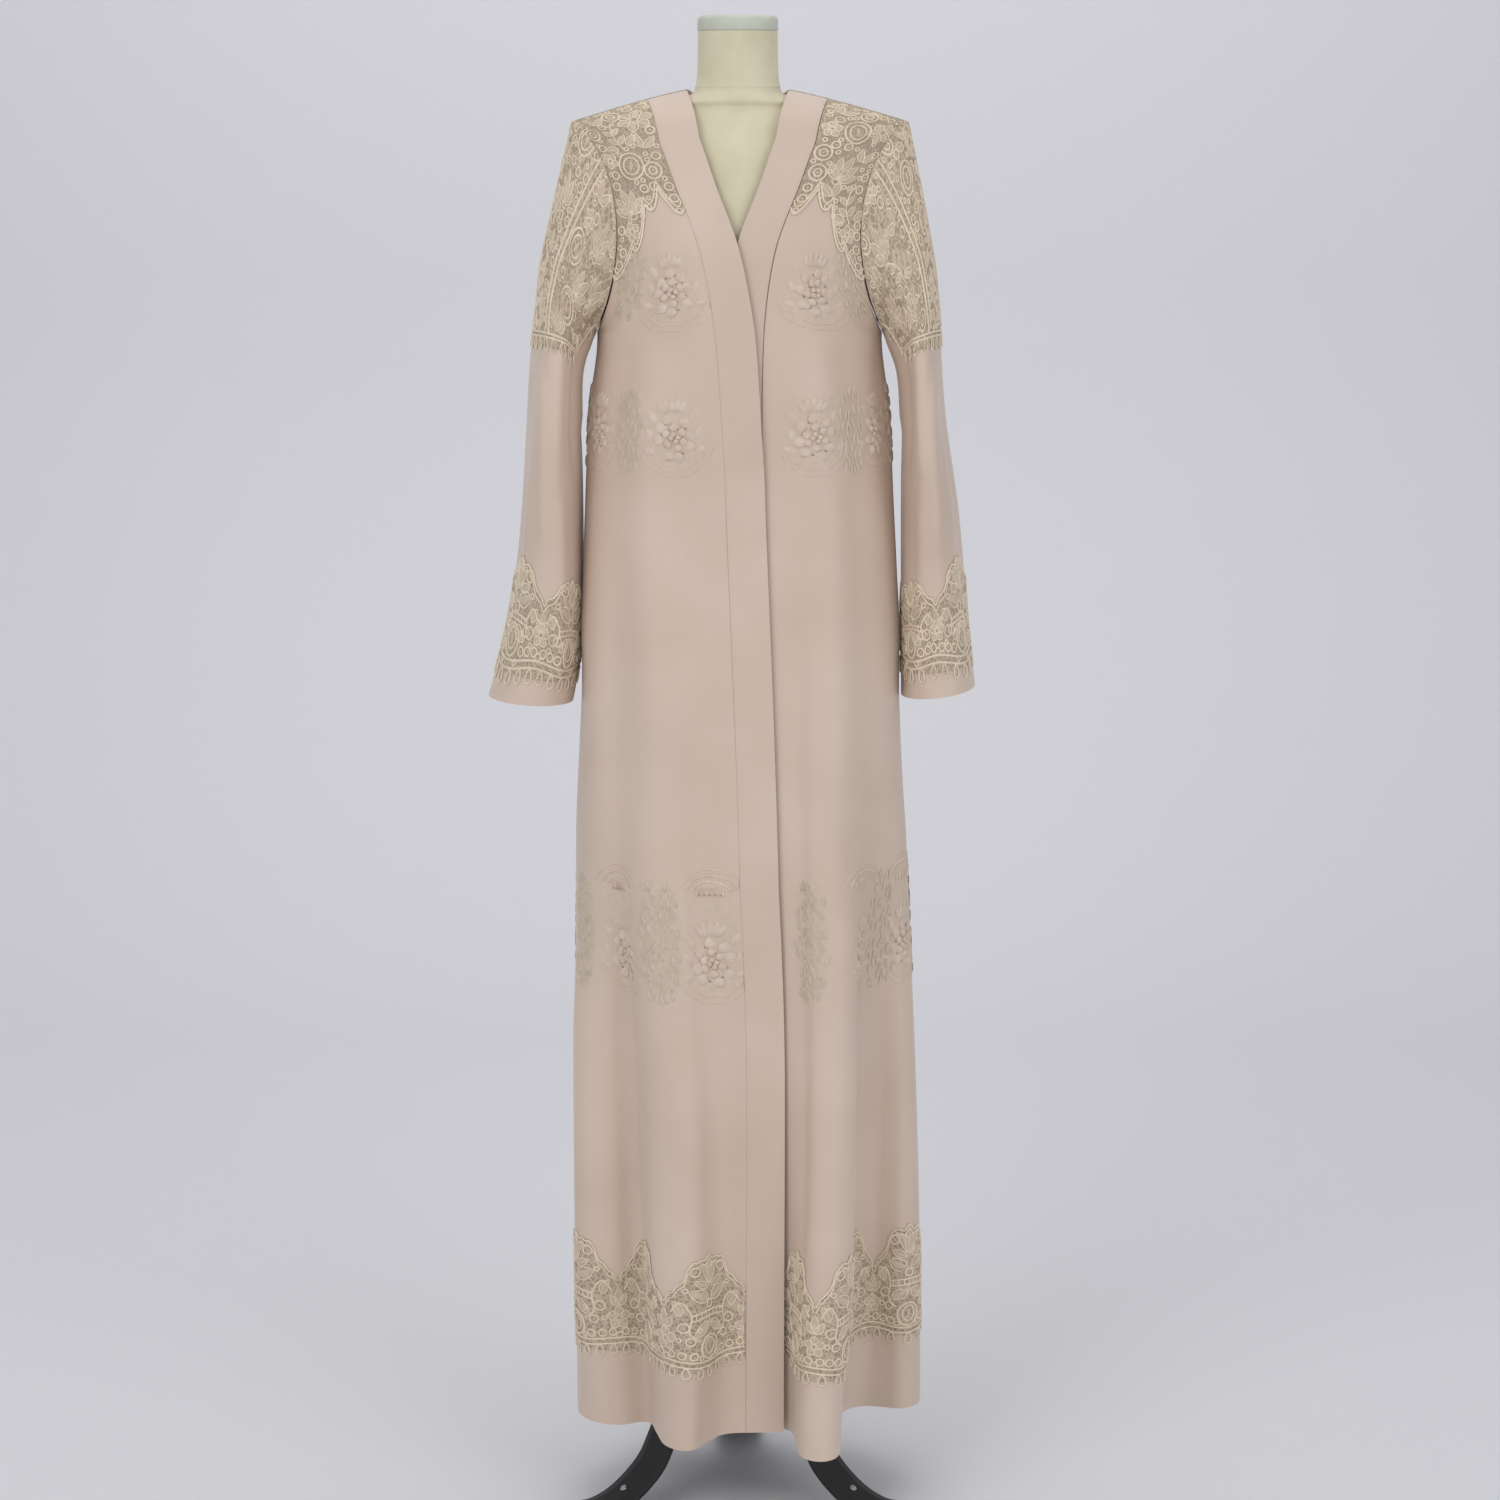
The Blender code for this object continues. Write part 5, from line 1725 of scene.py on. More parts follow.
@dataclass
class LaceYoke:
    """Lace over a shoulder or a sleeve's head, down to its own edge."""

    panel: Panel
    edge: Callable[[float], float]
    start: Callable[[float], float]
    first: float
    last: float
    has_level_edge: bool = False
    taken: list[tuple[float, float, float]] = field(default_factory=list)

    def build(self, name: str, node: str, finishes: Finishes, seed: int) -> None:
        """Build the net and the motifs set over it.

        Args:
            name: The start of the pieces' names.
            node: The CAD node that they stand for.
            finishes: The materials.
            seed: Where the run of motifs begins.
        """
        patch = NetPatch(self.panel, self.start, self.edge, self.first, self.last)
        net, area = patch.build(f"{name}_net", finishes.net)
        declare(net, "lace", node)
        applique = Applique(self.panel, LACE_LIFTS)
        if self.has_level_edge:
            self.lay_ladder(applique)
        self.lay_edge(applique)
        self.lay_motifs(applique, seed)
        raised = applique.finish(name, finishes.lace)
        for piece in raised:
            declare(piece, "lace")
        centre = (self.first + self.last) / 2.0
        middle = (self.start(centre) + self.edge(centre)) / 2.0
        width = float(np.interp(middle, self.panel.levels, self.panel.widths))
        width *= self.last - self.first

    def flat(self, share: float, level: float) -> tuple[float, float]:
        """Flat lengths in millimetres of a place on the panel."""
        width = float(np.interp(level, self.panel.levels, self.panel.widths))
        line = self.panel.down[:, int(share % 1.0 * self.panel.span)]
        down = float(np.interp(level, self.panel.levels, line))
        return share * width * 1000.0, down * 1000.0

    def lay_motifs(self, applique: Applique, seed: int) -> None:
        """Fill the lace with motifs, the large ones first, each where it has room."""
        draw = random.Random(seed)
        number = seed
        sizes = ((17.5, 500, lace_motif), (10.5, 900, little_motif),
                 (5.6, 1800, lambda seed: eyelet(0.0, 0.0, 4.4)),
                 (3.3, 3600, lambda seed: [oval(0.0, 0.0, 2.3, 2.3, 8, 0.9)]))
        for room, tries, motif in sizes:
            for _ in range(tries):
                share = draw.uniform(self.first, self.last)
                part = draw.random()
                level = self.start(share) + part * (self.edge(share) - self.start(share))
                if self.take(share, level, room):
                    number += 1
                    turn = 24.0 * math.sin(2.4 * number)
                    applique.lay(motif(number), Spot(self.panel, share, level, turn))

    def take(self, share: float, level: float, room: float) -> bool:
        """Take a round of ground if it is free and inside the lace."""
        x, y = self.flat(share, level)
        for other_x, other_y, other in self.taken:
            if math.hypot(x - other_x, y - other_y) < 0.94 * (room + other):
                return False
        width = float(np.interp(level, self.panel.levels, self.panel.widths)) * 1000.0
        tall = 0.92 * room / 1000.0 / self.level_span(share)
        foot = 15.0 / 1000.0 / self.level_span(share) if self.has_level_edge else 0.0
        for side in (-0.9, 0.0, 0.9):
            beside = share + side * room / width
            if not self.first <= beside <= self.last:
                return False
            if level - tall < self.start(beside) or level + tall + foot > self.edge(beside):
                return False
        self.taken.append((x, y, room))
        return True

    def level_span(self, share: float) -> float:
        """Metres down the cloth for a level of 1."""
        line = self.panel.down[:, int(share % 1.0 * self.panel.span)]
        return float(line[-1] / self.panel.levels[-1])

    def lay_ladder(self, applique: Applique) -> None:
        """Lay a beaded double cord down the front and the back, and keep it clear."""
        for side in (-1.0, 1.0):
            turns = np.linspace(60.0, 70.0, 60)
            levels = np.linspace(0.02, self.edge(70.0 / 360.0) - 0.035, 60)
            shares = side * turns / 360.0
            for offset in (-0.0085, 0.0085):
                applique.lay_line(Kind.CORD, shares + offset, levels, 1.15)
            for index in range(0, 60, 3):
                spot = Spot(self.panel, float(shares[index]), float(levels[index]))
                applique.lay([dot(0.0, 0.0, 1.5)], spot)
                x, y = self.flat(spot.share, spot.level)
                self.taken.append((x, y, 4.0))

    def lay_edge(self, applique: Applique) -> None:
        """Lay a double cord and small rings along the lower edge."""
        shares = np.linspace(self.first, self.last, 150)
        step = 0.001 / self.level_span((self.first + self.last) / 2.0)
        insets = ((13.5, 1.2), (19.0, 1.2)) if self.has_level_edge else ((1.4, 1.3), (9.2, 1.0))
        for inset_by, radius in insets:
            levels = np.array([self.edge(share) for share in shares]) - inset_by * step
            applique.lay_line(Kind.CORD, shares, levels, radius)
        centre = self.edge((self.first + self.last) / 2.0)
        width = float(np.interp(centre, self.panel.levels, self.panel.widths)) * 1000.0
        pitch = 19.0 if self.has_level_edge else 9.0
        count = int((self.last - self.first) * width / pitch)
        for index in range(count):
            share = self.first + (index + 0.5) / count * (self.last - self.first)
            if self.has_level_edge:
                level = self.edge(share) - 13.0 * step
                work = teardrop(0.0, 0.0, -90.0, 12.5, 15.0, 1.0)
                self.taken.append((*self.flat(share, level - 3.0 * step), 4.5))
            else:
                level = self.edge(share) - 5.3 * step
                work = [oval(0.0, 0.0, 2.5, 2.5, 8, 0.9)]
                self.taken.append((*self.flat(share, level), 4.5))
            applique.lay(work, Spot(self.panel, share, level))


class TintPatch(NamedTuple):
    """A patch of tinted ground: its centre, half sizes in millimetres, strength."""

    share: float
    level: float
    half_width: float
    half_height: float
    strength: float


class Band(NamedTuple):
    """A band of embroidery: its middle, and the shares of its roses and columns."""

    level: float
    roses: tuple[float, ...]
    columns: tuple[float, ...]
    tall: float
    is_arched: bool


@dataclass
class Stitching:
    """Tone-on-tone embroidery and seam stitches on a panel."""

    panel: Panel

    def tint(self, bands: Sequence[Band]) -> np.ndarray:
        """How much tinted ground shows at each point of the panel."""
        panel = self.panel
        patches = []
        for band in bands:
            for share in band.columns:
                patches.append(TintPatch(share, band.level, 21.0, band.tall * 0.5, 0.50))
            for share in band.roses:
                patches.append(TintPatch(share, band.level, 34.0, band.tall * 0.5, 0.34))
        shares = np.linspace(0.0, 1.0, panel.points.shape[1])[None, :]
        total = np.zeros(panel.points.shape[:2])
        for patch in patches:
            column = int(patch.share * panel.span)
            middle = float(np.interp(patch.level, panel.levels, panel.down[:, column]))
            dx = (shares - patch.share) * panel.widths[:, None] * 1000.0 / patch.half_width
            dy = (panel.down - middle) * 1000.0 / patch.half_height
            reach = (np.abs(dx) ** 3 + np.abs(dy) ** 3) ** (1.0 / 3.0)
            total = np.maximum(total, patch.strength * ease((1.45 - reach) / 0.85))
        return total

    def lay_bands(self, applique: Applique, bands: Sequence[Band], seed: int) -> None:
        """Lay roses, hatched columns and arches along bands.

        Args:
            applique: What they are gathered in.
            bands: The bands.
            seed: Where the run of motifs begins.
        """
        number = seed
        for band in bands:
            fall = 0.018 if band.is_arched else 0.0
            for share in band.roses:
                number += 1
                spot = Spot(self.panel, share, band.level + fall, 4.0 * math.sin(1.9 * number),
                            1.18 if band.is_arched else 1.08)
                applique.lay(embroidery_motif(number), spot)
                if band.is_arched:
                    high = Spot(self.panel, share, band.level - 0.060, 0.0, 1.1)
                    applique.lay(arch_motif(), high)
            for share in band.columns:
                number += 1
                applique.lay(hatch_motif(number, band.tall), Spot(self.panel, share, band.level))

    def lay_stitches(self, applique: Applique, share: float, start: float, end: float,
                     pitch: float = 0.0042) -> None:
        """Lay a row of short stitches down the panel."""
        for level in np.arange(start, end, pitch):
            levels = level + np.array((0.0, 0.35, 0.7)) * pitch
            applique.lay_line(Kind.CORD, np.full(3, share), levels, 0.28, 4)

    def lay_hem(self, applique: Applique, level: float, pitch: float = 0.0045) -> None:
        """Lay a row of short stitches across the panel."""
        width = float(np.interp(level, self.panel.levels, self.panel.widths))
        count = int(width / pitch)
        for index in range(count):
            shares = (index + 0.15 + np.array((0.0, 0.35, 0.7))) / count
            applique.lay_line(Kind.CORD, shares, np.full(3, level), 0.28, 4)

RIGHT_BANDS = (
    Band(0.205, (0.70,), (0.26,), 84.0, False),
    Band(0.356, (0.26, 0.78), (0.04, 0.52), 92.0, False),
    Band(0.905, (0.45, 0.885), (0.19, 0.67), 140.0, True),
)

LEFT_BANDS = (
    Band(0.205, (0.40,), (0.80,), 84.0, False),
    Band(0.356, (0.26, 0.70), (0.48, 0.94), 92.0, False),
    Band(0.905, (0.52, 0.88), (0.20, 0.71), 140.0, True),
)

BACK_BANDS = (
    Band(0.205, (0.22, 0.5, 0.78), (0.08, 0.36, 0.64, 0.92), 84.0, False),
    Band(0.356, (0.14, 0.38, 0.62, 0.86), (0.02, 0.26, 0.50, 0.74, 0.98), 92.0, False),
    Band(0.905, (0.10, 0.26, 0.42, 0.58, 0.74, 0.90), (0.02, 0.18, 0.34, 0.50, 0.66, 0.82, 0.98),
         140.0, True),
)


@dataclass
class Body:
    """The two fronts with their bands, and the back."""

    right_columns: int = 64
    left_columns: int = 84
    back_columns: int = 136
    band_columns: int = 8

    def build(self, finishes: Finishes) -> None:
        """Build every body panel, its lace and its stitching."""
        right = body_panel("right_front", right_front_point, self.right_columns)
        right.displace(body_folds(right, RIGHT_FRONT_CREASES, 0.4))
        self.build_front(right, 3, 0, RIGHT_BANDS, finishes)
        LOG.info("right front")
        left = body_panel("left_front", left_front_point, self.left_columns)
        left.displace(body_folds(left, LEFT_FRONT_CREASES, 2.1))
        self.build_front(left, 4, 5, LEFT_BANDS, finishes)
        LOG.info("left front")
        back = body_panel("back", back_point, self.back_columns)
        back.displace(body_folds(back, BACK_CREASES, 3.6))
        self.build_back(back, finishes)
        LOG.info("back")
        for name, point_at, seam in (("right_front_band", right_band_point, 0.07),
                                     ("left_front_band", left_band_point, 0.93)):
            self.build_band(body_panel(name, point_at, self.band_columns), seam, finishes)
        LOG.info("front bands")

    def build_cloth(self, panel: Panel, name: str, bands: Sequence[Band], seed: int,
                    finishes: Finishes) -> None:
        """Build a panel's cloth with its embroidery, and rename the panel for it."""
        stitching = Stitching(panel)
        cloth = wall_of_panel(panel, f"cloth_{name}", finishes.cloth, stitching.tint(bands))
        declare(cloth, "cloth", panel.name)
        applique = Applique(panel, CLOTH_LIFTS)
        stitching.lay_bands(applique, bands, seed)
        stitching.lay_hem(applique, GARMENT_LENGTH - 0.012)
        pieces = applique.finish(f"embroidery_{name}", finishes.embroidery)
        for piece in pieces:
            declare(piece, "cloth")
        panel.name = cloth.name

    def build_front(self, panel: Panel, repeats: int, seed: int, bands: Sequence[Band],
                    finishes: Finishes) -> None:
        """Build one front.

        Args:
            panel: Its panel.
            repeats: Lace repeats along its hem.
            seed: Where the run of motifs begins.
            bands: Its embroidery.
            finishes: The materials.
        """
        side = panel.name.split("_")[0]
        self.build_cloth(panel, f"{side}_front", bands, seed, finishes)
        margin = 0.0015
        border = LaceBorder(panel, HEM_LACE, margin, 1.0 - margin, repeats)
        border.build(f"lace_{side}_hem", f"{side}_front_hem_lace", finishes)
        table = YOKE_LACE_EDGE
        if side == "left":
            table = tuple((1.0 - share, drop) for share, drop in reversed(table))
        self.build_yoke(panel, table, 4.0, f"{side}_shoulder", seed, finishes)

    def build_back(self, panel: Panel, finishes: Finishes) -> None:
        """Build the back."""
        self.build_cloth(panel, "back", BACK_BANDS, 11, finishes)
        LaceBorder(panel, HEM_LACE, 0.001, 0.999, 6).build(
            "lace_back_hem", "back_hem_lace", finishes)
        self.build_yoke(panel, BACK_LACE_EDGE, 9.0, "back_shoulder", 9, finishes)

    def build_yoke(self, panel: Panel, table: Sequence[Point2], waves: float, name: str,
                   seed: int, finishes: Finishes) -> None:
        """Build the lace over a shoulder.

        Args:
            panel: The panel it lies on.
            table: Its lower edge, as drops by share.
            waves: Scallops along that edge.
            name: The CAD node's name without its ending.
            seed: Where the run of motifs begins.
            finishes: The materials.
        """
        def edge(share: float) -> float:
            drop = edge_at(table, min(max(share, 0.0), 1.0))
            return drop - 0.014 * (1.0 - scallop(share * waves))

        yoke = LaceYoke(panel, edge, lambda share: 0.0002, 0.002, 0.998)
        yoke.build(f"lace_{name}", f"{name}_lace", finishes, seed)

    def build_band(self, panel: Panel, seam: float, finishes: Finishes) -> None:
        """Build a band along an opening edge, stitched beside its seam."""
        cloth = wall_of_panel(panel, f"cloth_{panel.name}", finishes.cloth)
        declare(cloth, "cloth", panel.name)
        applique = Applique(panel, CLOTH_LIFTS)
        stitching = Stitching(panel)
        stitching.lay_stitches(applique, seam, 0.004, GARMENT_LENGTH - 0.003)
        # a thin dark cord of painted shade along the seam, beside its stitches
        along = np.linspace(0.002, GARMENT_LENGTH - 0.003, 240)
        edge = np.full(240, 0.013 if seam < 0.5 else 0.987)
        applique.lay_line(Kind.SHADE, edge, along, 0.26, 4)
        stitching.lay_hem(applique, GARMENT_LENGTH - 0.012)
        pieces = applique.finish(f"stitches_{panel.name}", finishes.embroidery)
        for piece in pieces:
            declare(piece, "cloth")


@dataclass
class Sleeves:
    """Both sleeves, with lace over their heads and round their cuffs."""

    columns: int = 72
    rows: int = 112

    def build(self, finishes: Finishes) -> None:
        """Build both sleeves."""
        for side_name, table, side, ripple in (("right", RIGHT_SLEEVE, -1, 0.0),
                                               ("left", LEFT_SLEEVE, 1, 1.3)):
            panel = sleeve_panel(f"{side_name}_sleeve", table, side, self.columns, self.rows)
            panel.displace(sleeve_folds(panel, SLEEVE_CREASES, ripple))
            self.build_one(panel, side_name, finishes)
            LOG.info("%s sleeve", side_name)

    def build_one(self, panel: Panel, side_name: str, finishes: Finishes) -> None:
        """Build one sleeve."""
        cloth = wall_of_panel(panel, f"cloth_{panel.name}", finishes.cloth)
        declare(cloth, "cloth", panel.name)
        applique = Applique(panel, CLOTH_LIFTS)
        Stitching(panel).lay_hem(applique, 0.985)
        turns = np.arange(96) / 96.0
        applique.lay_line(Kind.FILL, turns, np.full(96, 0.0), 0.9, 6, True)
        pieces = applique.finish(f"stitches_{side_name}_sleeve", finishes.embroidery)
        for piece in pieces:
            declare(piece, "cloth")
        panel.name = cloth.name
        length = float(panel.down[-1].mean())
        margin = 0.03 / 16
        for part, first in (("front", 0.0), ("back", 0.5)):
            LaceBorder(panel, CUFF_LACE, first + margin, first + 0.5 - margin, 2, length).build(
                f"lace_{side_name}_cuff_{part}", f"{side_name}_cuff_lace_{part}", finishes)
        self.build_head(panel, side_name, finishes)

    def build_head(self, panel: Panel, side_name: str, finishes: Finishes) -> None:
        """Build the lace over a sleeve's head, level at its lower edge."""
        reach = HEAD_LACE_REACH / 360.0

        def edge(share: float) -> float:
            turn = abs(360.0 * share)
            level = HEAD_LACE_END + 0.03 - 0.106 * (1.0 - math.cos(math.radians(turn)))
            return level - 0.14 * smooth((turn - 143.0) / 7.0)

        def start(share: float) -> float:
            turn = abs(360.0 * share)
            return HEAD_LACE_START + 0.06 * smooth((turn - 120.0) / 36.0)

        head = LaceYoke(panel, edge, start, -reach, reach, True)
        head.build(f"lace_{side_name}_sleeve_head", f"{side_name}_sleeve_head_lace", finishes,
                   3 if side_name == "right" else 6)


def arch_motif() -> Work:
    """Short bars standing under a low arch."""
    turns = np.radians(np.linspace(165.0, 15.0, 25))
    work: Work = []
    for wide, high, radius in ((19.0, 12.0, 1.0), (26.0, 18.0, 1.1), (33.0, 24.0, 0.8)):
        path = np.stack((wide * np.cos(turns), high * np.sin(turns) - 6.0), axis=1)
        work.append(cord(path, 1.2 * radius))
    for index in range(6):
        x = -12.5 + 5.0 * index
        work += petal(x, -10.0, 90.0, 11.0, 3.6, False, 0.0, 2.0)
        if index:
            # dark dots of painted shade between the bars
            work.append((Kind.SHADE, dot(x - 2.5, -7.5, 0.9)[1]))
    for index in range(5):
        angle = math.radians(150.0 - 30.0 * index)
        work.append(oval(22.5 * math.cos(angle), 15.0 * math.sin(angle) - 6.0, 2.0, 2.4, 8, 0.8))
    return work


def hatch_motif(seed: int, tall: float) -> Work:
    """Upright slender stitches, staggered over a tinted column."""
    draw = random.Random(seed)
    work: Work = []
    rows = int(tall / 15.0)
    for row in range(rows):
        y = (row - (rows - 1) / 2.0) * 14.5
        spread = 6.6 * math.sqrt(1.0 - (y / (0.56 * tall)) ** 2)
        for column in range(6):
            x = (column - 2.5) * spread + 2.4 * (row % 2) + draw.uniform(-1.6, 1.6)
            rise = y + draw.uniform(-5.0, 5.0)
            leaf = petal(x, rise - 6.0, 90.0 + draw.uniform(-18.0, 18.0), 13.0, 4.2, False,
                         draw.uniform(-0.12, 0.12), 1.7)
            work.append((Kind.TINT, leaf[0][1]))
    return work


# The form and the stand


class FormRing(NamedTuple):
    """One level of the dress form."""

    z: float
    half_width: float
    front: float
    back: float


FORM_RINGS = (
    FormRing(1.632, 0.0425, 0.0425, 0.0425),
    FormRing(1.595, 0.0430, 0.0430, 0.0430),
    FormRing(1.572, 0.0455, 0.0450, 0.0450),
    FormRing(1.564, 0.0542, 0.0489, 0.0455),
    FormRing(1.558, 0.0792, 0.0495, 0.0470),
    FormRing(1.552, 0.1035, 0.0460, 0.0480),
    FormRing(1.544, 0.1275, 0.0525, 0.0565),
    FormRing(1.529, 0.1425, 0.0635, 0.0715),
    FormRing(1.505, 0.1485, 0.0790, 0.0870),
    FormRing(1.460, 0.1475, 0.0950, 0.0980),
    FormRing(1.400, 0.1425, 0.1040, 0.1010),
    FormRing(1.315, 0.1370, 0.1120, 0.0990),
    FormRing(1.230, 0.1290, 0.0980, 0.0880),
    FormRing(1.150, 0.1220, 0.0870, 0.0800),
    FormRing(1.060, 0.1280, 0.0900, 0.0880),
    FormRing(0.960, 0.1420, 0.0960, 0.0980),
    FormRing(0.890, 0.1460, 0.0970, 0.1000),
    FormRing(0.845, 0.1400, 0.0920, 0.0950),
)


def deselect_all() -> None:
    """Leave nothing selected."""
    bpy.ops.object.select_all(action="DESELECT")


def select_where(thing: bpy.types.Object, test: Callable[[Vector], bool]) -> None:
    """In edit mode, select just the points that pass a test of their place."""
    mesh = bmesh.from_edit_mesh(thing.data)
    mesh.select_mode = {"VERT"}
    for vertex in mesh.verts:
        vertex.select = test(vertex.co)
    mesh.select_flush_mode()
    bmesh.update_edit_mesh(thing.data)


def settle(thing: bpy.types.Object, name: str, finish: bpy.types.Material) -> bpy.types.Object:
    """Name a piece, give it its material and put its place in its mesh."""
    bpy.ops.object.transform_apply(location=True, rotation=True, scale=True)
    thing.name = name
    thing.data.name = name
    thing.data.materials.clear()
    thing.data.materials.append(finish)
    return thing


@dataclass
class DressForm:
    """The limbless form: a torso in jersey and a moulded cap on its neck."""

    sides: int = 64
    cap_height: float = 0.016
    shrink: float = 0.0006

    def draw_down(self, rings: Sequence[FormRing], finish: bpy.types.Material, name: str
                  ) -> bpy.types.Object:
        """Extrude a round down through rings of their own widths and depths.

        Args:
            rings: The levels, from the top.
            finish: The material.
            name: The piece's name.

        Returns:
            The closed piece.
        """
        deselect_all()
        shift = Vector(ORIGIN_SHIFT)
        top = rings[0]
        centre = shift + Vector((0.0, 0.0, top.z))
        bpy.ops.mesh.primitive_circle_add(vertices=self.sides, radius=1.0, fill_type="NGON",
                                          location=(0.0, 0.0, top.z))
        thing = bpy.context.object
        bpy.ops.object.transform_apply(location=True)
        bpy.ops.object.mode_set(mode="EDIT")
        bpy.ops.mesh.select_all(action="SELECT")
        bpy.ops.transform.resize(value=(top.half_width, top.front, 1.0),
                                 center_override=(0.0, 0.0, top.z))
        for before, ring in zip(rings, rings[1:]):
            bpy.ops.mesh.extrude_region_move(
                TRANSFORM_OT_translate={"value": (0.0, 0.0, ring.z - before.z)})
            pivot = (0.0, 0.0, ring.z)
            bpy.ops.transform.resize(value=(ring.half_width / before.half_width, 1.0, 1.0),
                                     center_override=pivot)
            select_where(thing, lambda co, z=ring.z: abs(co.z - z) < 1e-5 and co.y < -1e-6)
            bpy.ops.transform.resize(value=(1.0, ring.front / before.front, 1.0),
                                     center_override=pivot)
            select_where(thing, lambda co, z=ring.z: abs(co.z - z) < 1e-5 and co.y > 1e-6)
            bpy.ops.transform.resize(value=(1.0, ring.back / before.back, 1.0),
                                     center_override=pivot)
            select_where(thing, lambda co, z=ring.z: abs(co.z - z) < 1e-5)
        bpy.ops.mesh.select_all(action="SELECT")
        bpy.ops.transform.translate(value=tuple(shift))
        bpy.ops.mesh.normals_make_consistent(inside=False)
        bpy.ops.object.mode_set(mode="OBJECT")
        LOG.debug("form piece at %s", centre)
        return settle(thing, name, finish)

    def build(self, finishes: Finishes) -> None:
        """Build the torso, the seam at the base of its neck, and the cap."""
        rings = []
        count = 5
        for index in range(len(FORM_RINGS) - 1):
            for part in range(count):
                spot = FormRing(*blend(FORM_RINGS, index + part / count))
                rings.append(self.smaller(spot))
        rings.append(self.smaller(FORM_RINGS[-1]))
        torso = self.draw_down(rings, finishes.jersey, "form_jersey_torso")
        deselect_all()
        torso.select_set(True)
        bpy.context.view_layer.objects.active = torso
        bpy.ops.object.shade_smooth_by_angle(angle=math.radians(40.0))
        declare(torso, "form_cover", "form_torso")
        seam = self.neck_seam(finishes)
        declare(seam, "form_cover")
        radius = FORM_RINGS[0].half_width + 0.0005
        base = FORM_RINGS[0].z + SEAM_GAP
        profile = ((1.0, -0.0125), (0.975, -0.0060), (0.92, -0.0030), (0.82, -0.0010),
                   (0.66, 0.0), (0.40, 0.0), (0.06, 0.0), (0.0, -0.0006))
        levels = [FormRing(base + self.cap_height * rise, radius + reach, radius + reach,
                           radius + reach) for rise, reach in profile]
        cap = self.draw_down(levels, finishes.cap, "form_moulded_cap")
        bpy.context.view_layer.objects.active = cap
        bpy.ops.object.shade_smooth_by_angle(angle=math.radians(35.0))
        declare(cap, "neck_cap", "form_neck_cap")
        LOG.info("dress form")

    def smaller(self, ring: FormRing) -> FormRing:
        """Hold a ring of the torso a little inside its solid, clear of the cloth."""
        slack = self.shrink if ring.z < 1.57 else 0.0
        return FormRing(ring.z, ring.half_width - slack, ring.front - slack, ring.back - slack)

    def neck_seam(self, finishes: Finishes) -> bpy.types.Object:
        """A fine corded seam where the neck cover meets the chest cover."""
        deselect_all()
        place = (ORIGIN_SHIFT[0], ORIGIN_SHIFT[1], 1.5735)
        bpy.ops.mesh.primitive_torus_add(major_radius=0.0450, minor_radius=0.0008,
                                         major_segments=72, minor_segments=8, location=place)
        seam = bpy.context.object
        bpy.ops.object.mode_set(mode="EDIT")
        bpy.ops.mesh.select_all(action="SELECT")
        bpy.ops.transform.resize(value=(1.0, 0.99, 0.7), center_override=place)
        bpy.ops.object.mode_set(mode="OBJECT")
        bpy.ops.object.shade_smooth()
        return settle(seam, "form_neck_seam", finishes.jersey)


class LegPoint(NamedTuple):
    """A point of a stand leg's centre line, out from the pole."""

    reach: float
    z: float


LEG_LINE = (
    LegPoint(0.0287, 0.1500),
    LegPoint(0.0580, 0.1440),
    LegPoint(0.0830, 0.1160),
    LegPoint(0.0987, 0.0800),
    LegPoint(0.1150, 0.0500),
    LegPoint(0.1450, 0.0240),
    LegPoint(0.1740, 0.0118),
    LegPoint(0.2020, 0.0118),
)
LEG_TURNS = {"right_leg": -60.0, "left_leg": 60.0, "rear_leg": 180.0}


